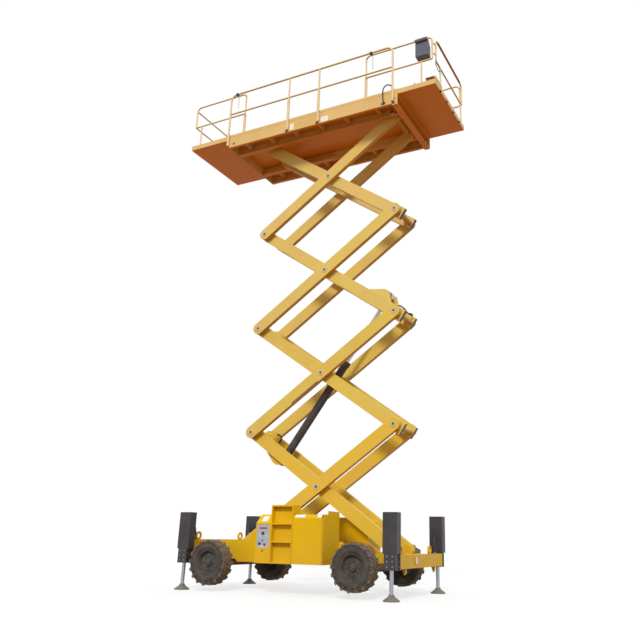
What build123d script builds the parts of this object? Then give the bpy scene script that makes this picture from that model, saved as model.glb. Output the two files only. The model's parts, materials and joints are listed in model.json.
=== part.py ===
from build123d import *
from math import atan2, cos, degrees, hypot, radians, sin
import os

# Rough-terrain scissor lift with four stages, a two-way extending platform
# and four levelling outriggers. Millimetres, +X to the front, +Y to the left,
# +Z up, origin on the ground under the middle of the machine.

# ---------------------------------------------------------------- scissor stack
STAGES = 4
ARM_LENGTH = 3588.0          # pin to pin
ARM_ANGLE = 34.9             # of every arm above level, as parked
ARM_DEPTH = 225.0
ARM_WIDTH = 90.0
ARM_WALL = 8.0
INNER_ARM_Y = 208.0          # inner face of the inner pair
ARM_GAP = 20.0               # between the inner and the outer pair
BASE_PIN_X = 1855.0
BASE_PIN_Z = 720.0
PIN_RADIUS = 40.0
PIN_FIT = 0.4                # radial clearance of every pin
WELD = 2.0                   # how far welded plates run into each other
SEAT_GAP = 0.3               # between pieces that rest on each other
BOSS_RADIUS = 72.0
CAP_RADIUS = 58.0
CAP_THICKNESS = 6.0
CROSS_TUBE_RADIUS = 50.0
TUBE_OVERHANG = 150.0        # upper inner arms run on past their front pins
VENT_RADIUS = 12.0

OUTER_ARM_Y = INNER_ARM_Y + ARM_WIDTH + ARM_GAP
OUTER_FACE_Y = OUTER_ARM_Y + ARM_WIDTH
STAGE_HEIGHT = ARM_LENGTH * sin(radians(ARM_ANGLE))
ARM_REACH = ARM_LENGTH * cos(radians(ARM_ANGLE))
TOP_PIN_Z = BASE_PIN_Z + STAGES * STAGE_HEIGHT
REAR_PIN_X = BASE_PIN_X - ARM_REACH

# distances up each inner pair, from its front pins, of its cross tubes
CROSS_TUBES = {1: (750, 1500), 2: (750, 2850), 3: (2300, 3150), 4: (2300, 3150)}

# lift cylinder, from the lowest inner pair to the third: each bracket pin as
# (distance up the arm, offset above its centre line)
LOW_BRACKET = (2883.0, -147.0)
HIGH_BRACKET = (471.0, 209.0)
BRACKET_PLATE = 28.0
BRACKET_REACH = 430.0        # half its length along the arm
BRACKET_RADIUS = 66.0
BRACKET_CLEAR = 7.0
LIFT_PIN_RADIUS = 32.0
BARREL_RADIUS = 74.0
BARREL_BORE = 60.0
BARREL_LENGTH = 2240.0       # from the lower pin to the end of the gland
GLAND_LENGTH = 90.0
LIFT_ROD_RADIUS = 36.0
ROD_TAIL = 975.0             # rod left inside the barrel, as parked
EYE_RADIUS = 78.0
EYE_WIDTH = 110.0
EYE_SIDE_GAP = 6.0

# ---------------------------------------------------------------- chassis
BEAM_INNER_Y = 470.0
BEAM_WIDTH = 90.0
BEAM_REAR_X = -1845.0
BEAM_FRONT_X = 1985.0
BEAM_BOTTOM = 520.0
BEAM_BELLY = 470.0
BEAM_TOP = 835.0
BEAM_NOSE_TOP = 660.0
NOSE_RAMP_REAR_X = 960.0
NOSE_RAMP_FRONT_X = 1230.0
BELLY_START = 85.0           # from the axle seats to the bends of the belly
BELLY_RAMP = 50.0
BEAM_OUTER_Y = BEAM_INNER_Y + BEAM_WIDTH
FLOOR_TOP = 590.0            # cross members lie under the folded arms
FLOOR_BARS = (-1640.0, -850.0, 150.0, 1000.0, 1855.0)
FLOOR_BAR_HALF = 95.0
TRACK_HALF = 48.0            # half height of the roller tracks
TRACK_FLANGE = 12.0
TRACK_LIP = 44.0
TRACK_CLEAR = 1.5
TRACK_REAR_X = -1840.0
TRACK_FRONT_X = 60.0
ROLLER_WIDTH = 34.0
EAR_PLATE = 24.0
EAR_GAP = 6.0
EAR_RADIUS = 78.0
EAR_FOOT = 120.0
TOP_EAR_FOOT = 160.0
TOP_EAR_WEB = 30.0
GUSSET_REAR_X = -930.0
GUSSET_FRONT_X = -690.0
GUSSET_TOP = 1040.0

FRONT_BEAM_DEPTH = 220.0
FRONT_BEAM_TOP = 660.0
REAR_BEAM_DEPTH = 145.0
REAR_BEAM_TOP = 835.0
CROSSBEAM_BOTTOM = 455.0
CROSSBEAM_HALF = 926.0
CROSSBEAM_WALL = 12.0
LIFTING_EYE_Y = 640.0
LIFTING_EYE_RADIUS = 74.0
LIFTING_EYE_BORE = 42.0
LIFTING_EYE_PLATE = 26.0
HOOK_DEPTH = 96.0
HOOK_PLATE = 22.0
HOOK_ROOT = 72.0
HOOK_TIP = 32.0
HOOK_NOSE = 30.0
HOOK_INSET = 8.0
EYE_SINK = 12.0              # lifting eyes sit this far into their beam

# ---------------------------------------------------------------- outriggers
COVER_LENGTH = 240.0
COVER_WIDTH = 160.0
OUTRIGGER_GAP = 6.0          # between a cover and the crossbeam's end
OUTRIGGER_Y = CROSSBEAM_HALF + OUTRIGGER_GAP + COVER_WIDTH / 2
REAR_OUTRIGGER_X = BEAM_REAR_X - 37.0
FRONT_OUTRIGGER_X = BEAM_FRONT_X + 122.0
# name: (along the machine, side)
OUTRIGGERS = {"rear_right": (REAR_OUTRIGGER_X, -1), "front_right": (FRONT_OUTRIGGER_X, -1),
              "rear_left": (REAR_OUTRIGGER_X, 1), "front_left": (FRONT_OUTRIGGER_X, 1)}
COVER_BOTTOM = 690.0
COVER_TOP = 1290.0
COVER_WALL = 5.0
GUIDE_BOTTOM = 440.0
GUIDE_LENGTH = 190.0
GUIDE_WIDTH = 150.0
GUIDE_FLANGE = 14.0
FLANGE_PLATE = 18.0
FLANGE_MARGIN = 7.0
JACK_RADIUS = 58.0
JACK_TOP = 1270.0
JACK_CROWN = 20.0            # solid end of the jack above its leg's bore
LEG_RADIUS = 32.0
LEG_TOP = 900.0
LEG_FIT = 0.5
FOOT_RADIUS = 130.0
FOOT_RIM = 14.0
FOOT_NECK = 46.0
FOOT_COLLAR = 20.0
FOOT_HEIGHT = 95.0

# ---------------------------------------------------------------- wheels
AXLE_FRONT_X = 1465.0
AXLE_REAR_X = -1325.0
HUB_Z = 460.0
WHEEL_Y = 980.0              # middle of each tyre
TYRE_RADIUS = 375.0          # over the lugs
TYRE_WIDTH = 268.0
LUG_DEPTH = 22.0
LUG_PITCHES = 17
LUG_WIDTH = 52.0
LUG_SLANT = 62.0
RIM_RADIUS = 205.0
RIM_WIDTH = 210.0
RIM_WALL = 10.0
TYRE_SEAT = 0.3
DISC_INSET = 62.0            # wheel disc behind the rim's outer edge
DISC_PLATE = 14.0
HUB_RADIUS = 70.0
SPINDLE_RADIUS = 38.0
SPINDLE_END = 1035.0
KINGPIN_Y = 760.0
AXLE_HALF_DEPTH = 65.0
AXLE_BOTTOM = 405.0
AXLE_TOP = 515.0
AXLE_SEAT_HALF = 110.0
YOKE_PLATE = 26.0
YOKE_HALF = 55.0
YOKE_TIP = 45.0              # yoke plates run on past the kingpin
YOKE_ROOT = 60.0
YOKE_GAP = 6.0               # above and below the knuckle
REAR_AXLE_TIP = 70.0         # rear axle runs on past the kingpins' line
KNUCKLE_RADIUS = 48.0
KNUCKLE_HALF = 66.0
KNUCKLE_SWING = 28.0         # room for the steering arms to turn past the axle
KINGPIN_RADIUS = 20.0
KINGPIN_HEAD = 8.0
STEER_ARM = 190.0
STEER_ARM_ROOT = 30.0        # half widths of the steering arms
STEER_ARM_TIP = 26.0
STEER_PLATE = 24.0
BALL_PIN_RADIUS = 12.0
BALL_PIN_LENGTH = 52.0
TIE_ROD_RADIUS = 19.0
TIE_ROD_DROP = 27.0          # below the steering arms
TIE_EYE_RADIUS = 30.0
TIE_EYE_HALF = 22.0

# ---------------------------------------------------------------- side pods
POD_REAR_X = -340.0
POD_FRONT_X = 945.0
POD_OUTER_Y = 1110.0
POD_BOTTOM = 480.0
POD_TOP = 1255.0
POD_SHEET = 10.0
POD_WALL = 16.0
POD_TRAY = 20.0
POD_SKIRT = 40.0
BULKHEAD_TOP = 1310.0
BULKHEAD_STEP_Y = 930.0
CONSOLE_FRONT_X = -50.0
CONSOLE_FACE_TOP = 1112.0
CONSOLE_LID_Y = 960.0
CONSOLE_INNER_Y = 800.0
PANEL_MARGIN = 22.0
PANEL_BOTTOM = 722.0
PANEL_TOP = 1096.0
PANEL_PLATE = 14.0
STEP_FRONT_X = 370.0
STEP_LEVELS = (495.0, 829.0, 1115.0, 1402.0)
STEP_PLATE = 24.0
STEP_CHEEK = 18.0
STEP_POCKET = 90.0
STEP_INNER_Y = 850.0
HOOD_ROUND = 80.0
HOOD_GAP = 6.0
HINGE_RADIUS = 8.0
HOOD_HINGE_Y = BEAM_OUTER_Y + HINGE_RADIUS + HOOD_GAP
HINGE_Z = POD_TOP - POD_SHEET / 2

# heavy blocks behind the covers: (x0, x1, y0, y1, height)
POD_BLOCKS = {"engine_block": (120.0, 820.0, 620.0, 1020.0, 560.0),
              "hydraulic_tank": (420.0, 880.0, -1040.0, -620.0, 480.0)}

# ---------------------------------------------------------------- platform
DECK_REAR_X = -1864.0
DECK_FRONT_X = 2121.0
DECK_HALF_WIDTH = 880.0
FRAME_DROP = 68.0            # side beams' lower edge below the top pins
DECK_RISE = 130.0            # deck surface above the top pins
TOE_STRIP = 111.0            # side beams' toe strips above the deck
STRIP_SETBACK = 2.5          # toe strips behind the face of the side beams
FRAME_FLANGE = 60.0
CHANNEL_WALL = 12.0
REAR_END_PLATE = 20.0
FRONT_END_DEPTH = 115.0
FRONT_END_DROP = 37.0        # front end beam below the side beams
DECK_PLATE = 12.0
TRACK_BEAM_Y = 462.0
TRACK_BEAM_WIDTH = 56.0
JOIST_HALF = 25.0
JOISTS = (-1500.0, -900.0, -300.0, 300.0, 900.0, 1600.0)
TRAY_GAP = 6.0               # between a tray and what it slides in
TRAY_HEIGHT = 104.0
TRAY_SHEET = 6.0
TRAY_EDGE = 20.0
TRAY_REAR_TIP = -2893.0
TRAY_FRONT_TIP = 2893.0
TRAY_OVERLAP = 850.0
NOSE_PLATE = 10.0
NOSE_PLATE_RISE = 80.0
NOSE_PLATE_WIDTH = 382.0
NOSE_SLOTS = (-560.0, -190.0, 190.0, 560.0)
SLOT_HALF = 45.0
SLOT_DEPTH = 40.0
RAIL_HEIGHT = 1100.0         # of the main rails above the deck
KNEE_HEIGHT = 619.0
RAIL_RADIUS = 20.0
RAIL_BEND = 140.0
POST_RADIUS = 18.0
SLEEVE_RADIUS = 28.0
SLEEVE_GAP = 26.0            # post sleeves end below the knee rail
SOCKET_RISE = 30.0           # end posts' sockets above the toe strips
POST_FOOT = 30.0             # posts stop above the side beams' lower edge
MAIN_POSTS = (-1855.0, -349.0, 375.0, 2031.0)
TRAY_RAIL_RADIUS = 17.0
TRAY_RAIL_BEND = 100.0
TRAY_KNEE_BEND = 40.0
TRAY_RAIL_HEIGHT = 1000.0    # of a tray's rails above the tray
TRAY_KNEE_HEIGHT = 490.0
# tray: (root posts, posts under the knee rail, nose of the side loops)
TRAY_POSTS = {"rear": (-1515.0, -2690.0, -2859.0), "front": (1419.0, 2604.0, 2831.0)}
END_BAR_DROP = 85.0          # rear end bar below the top of the side loops
END_FRAME_INSET = 104.0      # front end frame's near side inside the side loop
END_POSTS = (-500.0, 745.0)
LINK_RADIUS = 12.0
LINK_PLATE = 12.0
LINK_PLATE_HALF = 30.0
LINK_INSET = 140.0           # from the top and the knee of the front loops
UPPER_BOX_X = 2473.0
UPPER_BOX_LENGTH = 255.0
UPPER_BOX_WIDTH = 160.0
UPPER_BOX_HEIGHT = 370.0
UPPER_BOX_CROWN = 60.0       # flat top before the sloping panel
UPPER_BOX_SLOPE = 120.0
HOOK_LIP = 8.0
HOOK_LIP_DEPTH = 45.0

FRAME_BOTTOM = TOP_PIN_Z - FRAME_DROP
DECK_TOP = TOP_PIN_Z + DECK_RISE
JOIST_TOP = DECK_TOP - DECK_PLATE
SIDE_TOP = DECK_TOP + TOE_STRIP
WEB_Y = DECK_HALF_WIDTH - CHANNEL_WALL
TRAY_HALF = WEB_Y - TRAY_GAP
TRAY_BOTTOM = DECK_TOP + TRAY_GAP
TRAY_TOP = TRAY_BOTTOM + TRAY_HEIGHT
MAIN_RAIL_Y = DECK_HALF_WIDTH + SLEEVE_RADIUS + SEAT_GAP
TRAY_RAIL_Y = TRAY_HALF - SLEEVE_RADIUS
TRAY_RAIL_TOP = TRAY_TOP + TRAY_RAIL_HEIGHT
TRAY_KNEE = TRAY_TOP + TRAY_KNEE_HEIGHT

parts = {}


# ---------------------------------------------------------------- shapes
def box(x0, x1, y0, y1, z0, z1):
    """A block between two corners."""
    size = (abs(x1 - x0), abs(y1 - y0), abs(z1 - z0))
    centre = ((x0 + x1) / 2, (y0 + y1) / 2, (z0 + z1) / 2)
    return Pos(*centre) * Box(*size)


def across(radius, y0, y1, x, z):
    """A round bar along Y."""
    return Pos(x, (y0 + y1) / 2, z) * Rot(90, 0, 0) * Cylinder(radius, abs(y1 - y0))


def along(radius, x0, x1, y, z):
    """A round bar along X."""
    return Pos((x0 + x1) / 2, y, z) * Rot(0, 90, 0) * Cylinder(radius, abs(x1 - x0))


def upright(radius, z0, z1, x, y):
    """A round bar along Z."""
    return Pos(x, y, (z0 + z1) / 2) * Cylinder(radius, abs(z1 - z0))


def slab_xz(points, y0, y1):
    """A plate with its outline in XZ."""
    face = make_face(Polyline([(x, 0, z) for x, z in points], close=True))
    return Pos(0, min(y0, y1), 0) * extrude(face, amount=abs(y1 - y0), dir=(0, 1, 0))


def slab_yz(points, x0, x1):
    """A plate with its outline in YZ."""
    face = make_face(Polyline([(0, y, z) for y, z in points], close=True))
    return Pos(min(x0, x1), 0, 0) * extrude(face, amount=abs(x1 - x0), dir=(1, 0, 0))


def both_sides(make):
    """The same piece on the right (-1) and on the left (+1)."""
    return make(-1) + make(1)


# ---------------------------------------------------------------- scissor arms
def pin_place(level, front):
    """Front or rear pin at the top of a stage, as (x, z)."""
    x = BASE_PIN_X if front else REAR_PIN_X
    return x, BASE_PIN_Z + level * STAGE_HEIGHT


def arm_frame(stage, inner):
    """Where a pair of arms is built: origin on its lower pin, +X towards the
    front along the arm, +Z off its upper edge."""
    x, z = pin_place(stage - 1, front=inner)
    return Pos(x, 0, z) * Rot(0, ARM_ANGLE if inner else -ARM_ANGLE, 0)


def arm_tube(side, y_inner, x0, x1, open_front):
    """One rectangular tube, rounded round its end pins unless it runs on."""
    y0, y1 = side * y_inner, side * (y_inner + ARM_WIDTH)
    half = ARM_DEPTH / 2
    tube = box(x0, x1, y0, y1, -half, half)
    tube += across(half, y0, y1, x0, 0)
    if not open_front:
        tube += across(half, y0, y1, x1, 0)
    return tube


def tube_hollow(side, y_inner, x0, x1):
    half = ARM_DEPTH / 2 - ARM_WALL
    return box(x0, x1, side * (y_inner + ARM_WALL),
               side * (y_inner + ARM_WIDTH - ARM_WALL), -half, half)


def inner_arms(stage):
    """The inner pair rises to the rear, with cross tubes between its tubes."""
    open_front = stage > 1
    front_x = TUBE_OVERHANG if open_front else 0
    outer_y = INNER_ARM_Y + ARM_WIDTH
    pins = (0, -ARM_LENGTH / 2, -ARM_LENGTH)

    def arm(side):
        tube = arm_tube(side, INNER_ARM_Y, -ARM_LENGTH, front_x, open_front)
        hollow_front = front_x + 1 if open_front else -ARM_DEPTH / 2
        tube -= tube_hollow(side, INNER_ARM_Y, -ARM_LENGTH + ARM_DEPTH / 2, hollow_front)
        if not open_front:
            vent_x = -ARM_DEPTH
            tube -= upright(VENT_RADIUS, -ARM_DEPTH, 0, vent_x, side * (INNER_ARM_Y + ARM_WIDTH / 2))
        for x in pins:
            tube += across(BOSS_RADIUS, side * INNER_ARM_Y, side * outer_y, x, 0)
        return tube

    pair = both_sides(arm)
    tie_places = [-s for s in CROSS_TUBES[stage]]
    if open_front:
        tie_places.append(front_x - CROSS_TUBE_RADIUS - ARM_WALL)
    for x in tie_places:
        pair += across(CROSS_TUBE_RADIUS, -INNER_ARM_Y - 1, INNER_ARM_Y + 1, x, 0)
    for x in pins:
        pair -= across(PIN_RADIUS + PIN_FIT, -outer_y - 1, outer_y + 1, x, 0)
    return pair


def outer_arms(stage):
    """The outer pair rises to the front and carries every pin of its stage:
    a shaft at each end, and a stub on each side at the crossing."""
    top = stage == STAGES
    ends = (0, ARM_LENGTH)

    def arm(side):
        tube = arm_tube(side, OUTER_ARM_Y, 0, ARM_LENGTH, False)
        tube -= tube_hollow(side, OUTER_ARM_Y, ARM_DEPTH / 2, ARM_LENGTH - ARM_DEPTH / 2)
        tube -= upright(VENT_RADIUS, -ARM_DEPTH, 0, ARM_DEPTH, side * (OUTER_ARM_Y + ARM_WIDTH / 2))
        middle = ARM_LENGTH / 2
        tube += across(BOSS_RADIUS, side * OUTER_ARM_Y, side * OUTER_FACE_Y, middle, 0)
        tube += across(PIN_RADIUS, side * INNER_ARM_Y, side * OUTER_FACE_Y, middle, 0)
        tube += cap(side, middle, OUTER_FACE_Y)
        return tube

    pair = both_sides(arm)
    for x in ends:
        base_end = stage == 1 and x == 0
        top_end = top and x == ARM_LENGTH
        if base_end:
            pair += roller_shaft(OUTER_FACE_Y, BEAM_INNER_Y, x)
        elif top_end:
            reach = TRACK_BEAM_Y + TRACK_BEAM_WIDTH + WELD
            pair += across(PIN_RADIUS, -reach, reach, x, 0)
            pair += both_sides(lambda side: cap(side, x, reach))
        else:
            pair += across(PIN_RADIUS, -OUTER_FACE_Y, OUTER_FACE_Y, x, 0)
            pair += both_sides(lambda side: cap(side, x, OUTER_FACE_Y))
    return pair


def cap(side, x, y):
    """Keeper plate over the end of a pin."""
    return across(CAP_RADIUS, side * y, side * (y + CAP_THICKNESS), x, 0)


def roller_shaft(arm_face, wall_y, x):
    """A shaft right across, with a roller next to each track wall."""
    outer = wall_y - TRACK_CLEAR * 4
    inner = outer - ROLLER_WIDTH
    shaft = across(PIN_RADIUS, -outer, outer, x, 0)

    def roller(side):
        wheel = across(TRACK_HALF - TRACK_CLEAR, side * inner, side * outer, x, 0)
        return wheel + across(PIN_RADIUS + 8, side * arm_face, side * inner, x, 0)

    return shaft + both_sides(roller)


def bracket_outline(place):
    """Side view of a cylinder bracket, swelling off the arm round its pin."""
    s, offset = place
    sign = 1 if offset > 0 else -1
    root = sign * (ARM_DEPTH / 2 - 40)
    crown = offset + sign * BRACKET_RADIUS
    nose = BRACKET_RADIUS * 0.7
    return [(-s - BRACKET_REACH, root), (-s - nose, crown), (-s + nose, crown),
            (-s + BRACKET_REACH * 0.6, root)]


def low_bracket():
    """Plates under the lowest inner pair, and the pin that the barrel turns on."""
    s, offset = LOW_BRACKET
    y0 = INNER_ARM_Y + BRACKET_CLEAR
    y1 = y0 + BRACKET_PLATE
    plates = both_sides(lambda side: slab_xz(bracket_outline(LOW_BRACKET), side * y0, side * y1))
    return plates + across(LIFT_PIN_RADIUS, -y1 - 4, y1 + 4, -s, offset)


def high_bracket():
    """Plates inside the third inner pair, clear of the pair above when folded,
    with a stub each for the rod's eye."""
    s, offset = HIGH_BRACKET
    y1 = INNER_ARM_Y - BRACKET_CLEAR
    y0 = y1 - BRACKET_PLATE
    stub_end = EYE_WIDTH / 2 + EYE_SIDE_GAP

    def plate(side):
        piece = slab_xz(bracket_outline(HIGH_BRACKET), side * y0, side * y1)
        seat_half = ARM_DEPTH / 2 - 20
        piece += box(-s - BRACKET_REACH * 0.8, -s + BRACKET_REACH * 0.5, side * y0,
                     side * (INNER_ARM_Y + 1), 0, seat_half)
        return piece + across(LIFT_PIN_RADIUS, side * stub_end, side * y1, -s, offset)

    return both_sides(plate)


def scissor():
    for stage in range(1, STAGES + 1):
        inner = inner_arms(stage)
        if stage == 1:
            inner += low_bracket()
        if stage == 3:
            inner += high_bracket()
        if stage == STAGES:
            inner += roller_shaft(INNER_ARM_Y + ARM_WIDTH, TRACK_BEAM_Y, -ARM_LENGTH)
        parts[f"inner_arms_{stage}"] = arm_frame(stage, inner=True) * inner
        parts[f"outer_arms_{stage}"] = arm_frame(stage, inner=False) * outer_arms(stage)


# ---------------------------------------------------------------- lift cylinder
def bracket_pin(stage, place):
    """World place of a cylinder pin, as (x, z)."""
    s, offset = place
    x, z = pin_place(stage - 1, front=True)
    lean = radians(ARM_ANGLE)
    return (x - s * cos(lean) + offset * sin(lean), z + s * sin(lean) + offset * cos(lean))


LOW_PIN = bracket_pin(1, LOW_BRACKET)
HIGH_PIN = bracket_pin(3, HIGH_BRACKET)
LIFT_ANGLE = degrees(atan2(HIGH_PIN[1] - LOW_PIN[1], HIGH_PIN[0] - LOW_PIN[0]))
LIFT_LENGTH = hypot(HIGH_PIN[1] - LOW_PIN[1], HIGH_PIN[0] - LOW_PIN[0])


def lift_cylinder():
    """Built along +X from the lower pin, then leaned to its bracket pins."""
    place = Pos(LOW_PIN[0], 0, LOW_PIN[1]) * Rot(0, -LIFT_ANGLE, 0)
    half_eye = EYE_WIDTH / 2
    closed = EYE_RADIUS + 40
    barrel = along(BARREL_RADIUS, EYE_RADIUS - 8, BARREL_LENGTH - GLAND_LENGTH, 0, 0)
    barrel += along(BARREL_RADIUS + 8, BARREL_LENGTH - GLAND_LENGTH, BARREL_LENGTH, 0, 0)
    barrel -= along(BARREL_BORE, closed, BARREL_LENGTH - GLAND_LENGTH, 0, 0)
    barrel -= along(LIFT_ROD_RADIUS + PIN_FIT, closed, BARREL_LENGTH + 1, 0, 0)
    barrel += across(EYE_RADIUS, -half_eye, half_eye, 0, 0)
    barrel -= across(LIFT_PIN_RADIUS + PIN_FIT, -half_eye - 1, half_eye + 1, 0, 0)
    parts["lift_barrel"] = place * barrel

    rod_start = BARREL_LENGTH - ROD_TAIL
    rod = along(LIFT_ROD_RADIUS, rod_start, LIFT_LENGTH - EYE_RADIUS + 8, 0, 0)
    rod += across(EYE_RADIUS, -half_eye, half_eye, LIFT_LENGTH, 0)
    rod -= across(LIFT_PIN_RADIUS + PIN_FIT, -half_eye - 1, half_eye + 1, LIFT_LENGTH, 0)
    parts["lift_rod"] = place * rod


# ---------------------------------------------------------------- chassis
def chassis_frame():
    """Two deep side beams on low cross members, with the roller tracks and
    the ears of the base pins between them."""
    rear_bend = AXLE_REAR_X + AXLE_SEAT_HALF + BELLY_START
    front_bend = AXLE_FRONT_X - AXLE_SEAT_HALF - BELLY_START
    beam = [(BEAM_REAR_X, BEAM_BOTTOM), (rear_bend, BEAM_BOTTOM),
            (rear_bend + BELLY_RAMP, BEAM_BELLY), (front_bend - BELLY_RAMP, BEAM_BELLY),
            (front_bend, BEAM_BOTTOM), (BEAM_FRONT_X, BEAM_BOTTOM),
            (BEAM_FRONT_X, BEAM_NOSE_TOP), (NOSE_RAMP_FRONT_X, BEAM_NOSE_TOP),
            (NOSE_RAMP_REAR_X, BEAM_TOP), (BEAM_REAR_X, BEAM_TOP)]
    gusset = [(GUSSET_REAR_X, BEAM_TOP - 5), (GUSSET_FRONT_X, GUSSET_TOP),
              (POD_REAR_X, GUSSET_TOP), (POD_REAR_X, BEAM_TOP - 5)]

    def rail(side):
        piece = slab_xz(beam, side * BEAM_INNER_Y, side * BEAM_OUTER_Y)
        piece += slab_xz(gusset, side * (BEAM_OUTER_Y - 2 * POD_SHEET), side * BEAM_OUTER_Y)
        for z0 in (BASE_PIN_Z + TRACK_HALF, BASE_PIN_Z - TRACK_HALF - TRACK_FLANGE):
            piece += box(TRACK_REAR_X, TRACK_FRONT_X, side * (BEAM_INNER_Y - TRACK_LIP),
                         side * (BEAM_INNER_Y + 1), z0, z0 + TRACK_FLANGE)
        for x in (AXLE_FRONT_X, AXLE_REAR_X):
            piece += box(x - AXLE_SEAT_HALF, x + AXLE_SEAT_HALF, side * BEAM_INNER_Y,
                         side * BEAM_OUTER_Y, AXLE_TOP, BEAM_BOTTOM + 1)
        piece += box(POD_REAR_X, POD_FRONT_X, side * (BEAM_OUTER_Y - POD_SHEET),
                     side * BEAM_OUTER_Y, BEAM_NOSE_TOP, POD_TOP)
        return piece

    frame = both_sides(rail)
    for x in FLOOR_BARS:
        frame += box(x - FLOOR_BAR_HALF, x + FLOOR_BAR_HALF, -BEAM_INNER_Y - 1,
                     BEAM_INNER_Y + 1, BEAM_BOTTOM, FLOOR_TOP)
    frame += both_sides(base_ears)
    return frame


def ear(y0, y1, pin_z, foot_z, foot):
    """One ear: a wide foot narrowing to a round head about its pin."""
    outline = [(BASE_PIN_X - foot, foot_z), (BASE_PIN_X + foot, foot_z),
               (BASE_PIN_X + EAR_RADIUS, pin_z), (BASE_PIN_X - EAR_RADIUS, pin_z)]
    return slab_xz(outline, y0, y1) + across(EAR_RADIUS, y0, y1, BASE_PIN_X, pin_z)


def base_ears(side):
    """The ears on each side of an inner arm's foot, and their fixed pin."""
    inner_face = INNER_ARM_Y - EAR_GAP
    outer_face = INNER_ARM_Y + ARM_WIDTH + EAR_GAP
    pin_end = outer_face + EAR_PLATE + CAP_THICKNESS
    foot_z = FLOOR_TOP - WELD
    piece = ear(side * (inner_face - EAR_PLATE), side * inner_face, BASE_PIN_Z, foot_z, EAR_FOOT)
    piece += ear(side * outer_face, side * (outer_face + EAR_PLATE), BASE_PIN_Z, foot_z, EAR_FOOT)
    return piece + across(PIN_RADIUS, side * (inner_face - EAR_PLATE), side * pin_end,
                          BASE_PIN_X, BASE_PIN_Z)


def crossbeam(x0, x1, top, outrigger_x):
    """A welded box across the machine, with an end plate for each outrigger,
    lifting eyes on top and tie-down hooks underneath."""
    wall = CROSSBEAM_WALL
    half = CROSSBEAM_HALF - wall
    beam = box(x0, x1, -half, half, CROSSBEAM_BOTTOM, top)
    beam -= box(x0 + wall, x1 - wall, -half - 1, half + 1, CROSSBEAM_BOTTOM + wall, top - wall)
    middle = (x0 + x1) / 2
    outer = x1 if x1 > 0 else x0
    inward = -1 if x1 > 0 else 1

    def fittings(side):
        y = side * LIFTING_EYE_Y
        z = top + LIFTING_EYE_RADIUS - EYE_SINK
        half_plate = LIFTING_EYE_PLATE / 2
        eye = along(LIFTING_EYE_RADIUS, middle - half_plate, middle + half_plate, y, z)
        eye -= along(LIFTING_EYE_BORE, middle - half_plate - 1, middle + half_plate + 1, y, z)
        face = outer + inward * HOOK_INSET
        root_z, tip_z = CROSSBEAM_BOTTOM + WELD, CROSSBEAM_BOTTOM - HOOK_DEPTH
        hook = [(face + inward * HOOK_ROOT, root_z), (face, root_z), (face, tip_z + HOOK_NOSE),
                (face + inward * HOOK_TIP, tip_z)]
        eye += slab_xz(hook, y - HOOK_PLATE / 2, y + HOOK_PLATE / 2)
        end_half = COVER_LENGTH / 2 - FLANGE_MARGIN
        eye += box(outrigger_x - end_half, outrigger_x + end_half, side * (half - WELD),
                   side * CROSSBEAM_HALF, GUIDE_BOTTOM + FLANGE_MARGIN, top + WELD)
        return eye

    return beam + both_sides(fittings)


def outriggers():
    """Sheet cover, guide and jack of each outrigger, and its leg."""
    covers = []
    guides = []
    for name, (x, side) in OUTRIGGERS.items():
        y = side * OUTRIGGER_Y
        half_x, half_y = COVER_LENGTH / 2, COVER_WIDTH / 2
        wall = COVER_WALL
        cover = box(x - half_x, x + half_x, y - half_y, y + half_y, COVER_BOTTOM, COVER_TOP)
        cover -= box(x - half_x + wall, x + half_x - wall, y - half_y + wall,
                     y + half_y - wall, COVER_BOTTOM - 1, COVER_TOP - wall)
        covers.append(cover)

        guide_x, guide_y = GUIDE_LENGTH / 2, GUIDE_WIDTH / 2
        shelf = COVER_BOTTOM - GUIDE_FLANGE
        guide = box(x - guide_x, x + guide_x, y - guide_y, y + guide_y, GUIDE_BOTTOM, shelf)
        guide += box(x - half_x, x + half_x, y - half_y, y + half_y, shelf, COVER_BOTTOM)
        inner_face = side * CROSSBEAM_HALF
        guide += box(x - half_x + FLANGE_MARGIN, x + half_x - FLANGE_MARGIN, inner_face,
                     inner_face + side * FLANGE_PLATE, GUIDE_BOTTOM + FLANGE_MARGIN,
                     COVER_BOTTOM - FLANGE_MARGIN)
        guide += upright(JACK_RADIUS, COVER_BOTTOM, JACK_TOP, x, y)
        guide -= upright(LEG_RADIUS + LEG_FIT, GUIDE_BOTTOM - 1, JACK_TOP - JACK_CROWN, x, y)
        guides.append(guide)

        profile = make_face(Polyline((0, 0), (FOOT_RADIUS, 0), (FOOT_RADIUS, FOOT_RIM),
                                     (FOOT_NECK, FOOT_HEIGHT - FOOT_COLLAR), (FOOT_NECK, FOOT_HEIGHT),
                                     (LEG_RADIUS, FOOT_HEIGHT), (LEG_RADIUS, LEG_TOP),
                                     (0, LEG_TOP), close=True))
        leg = revolve(Plane.XZ * profile, axis=Axis.Z)
        parts[f"leg_{name}"] = Pos(x, y, 0) * leg
    parts["outrigger_covers"] = Compound(children=covers)
    parts["outrigger_jacks"] = Compound(children=guides)


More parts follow.
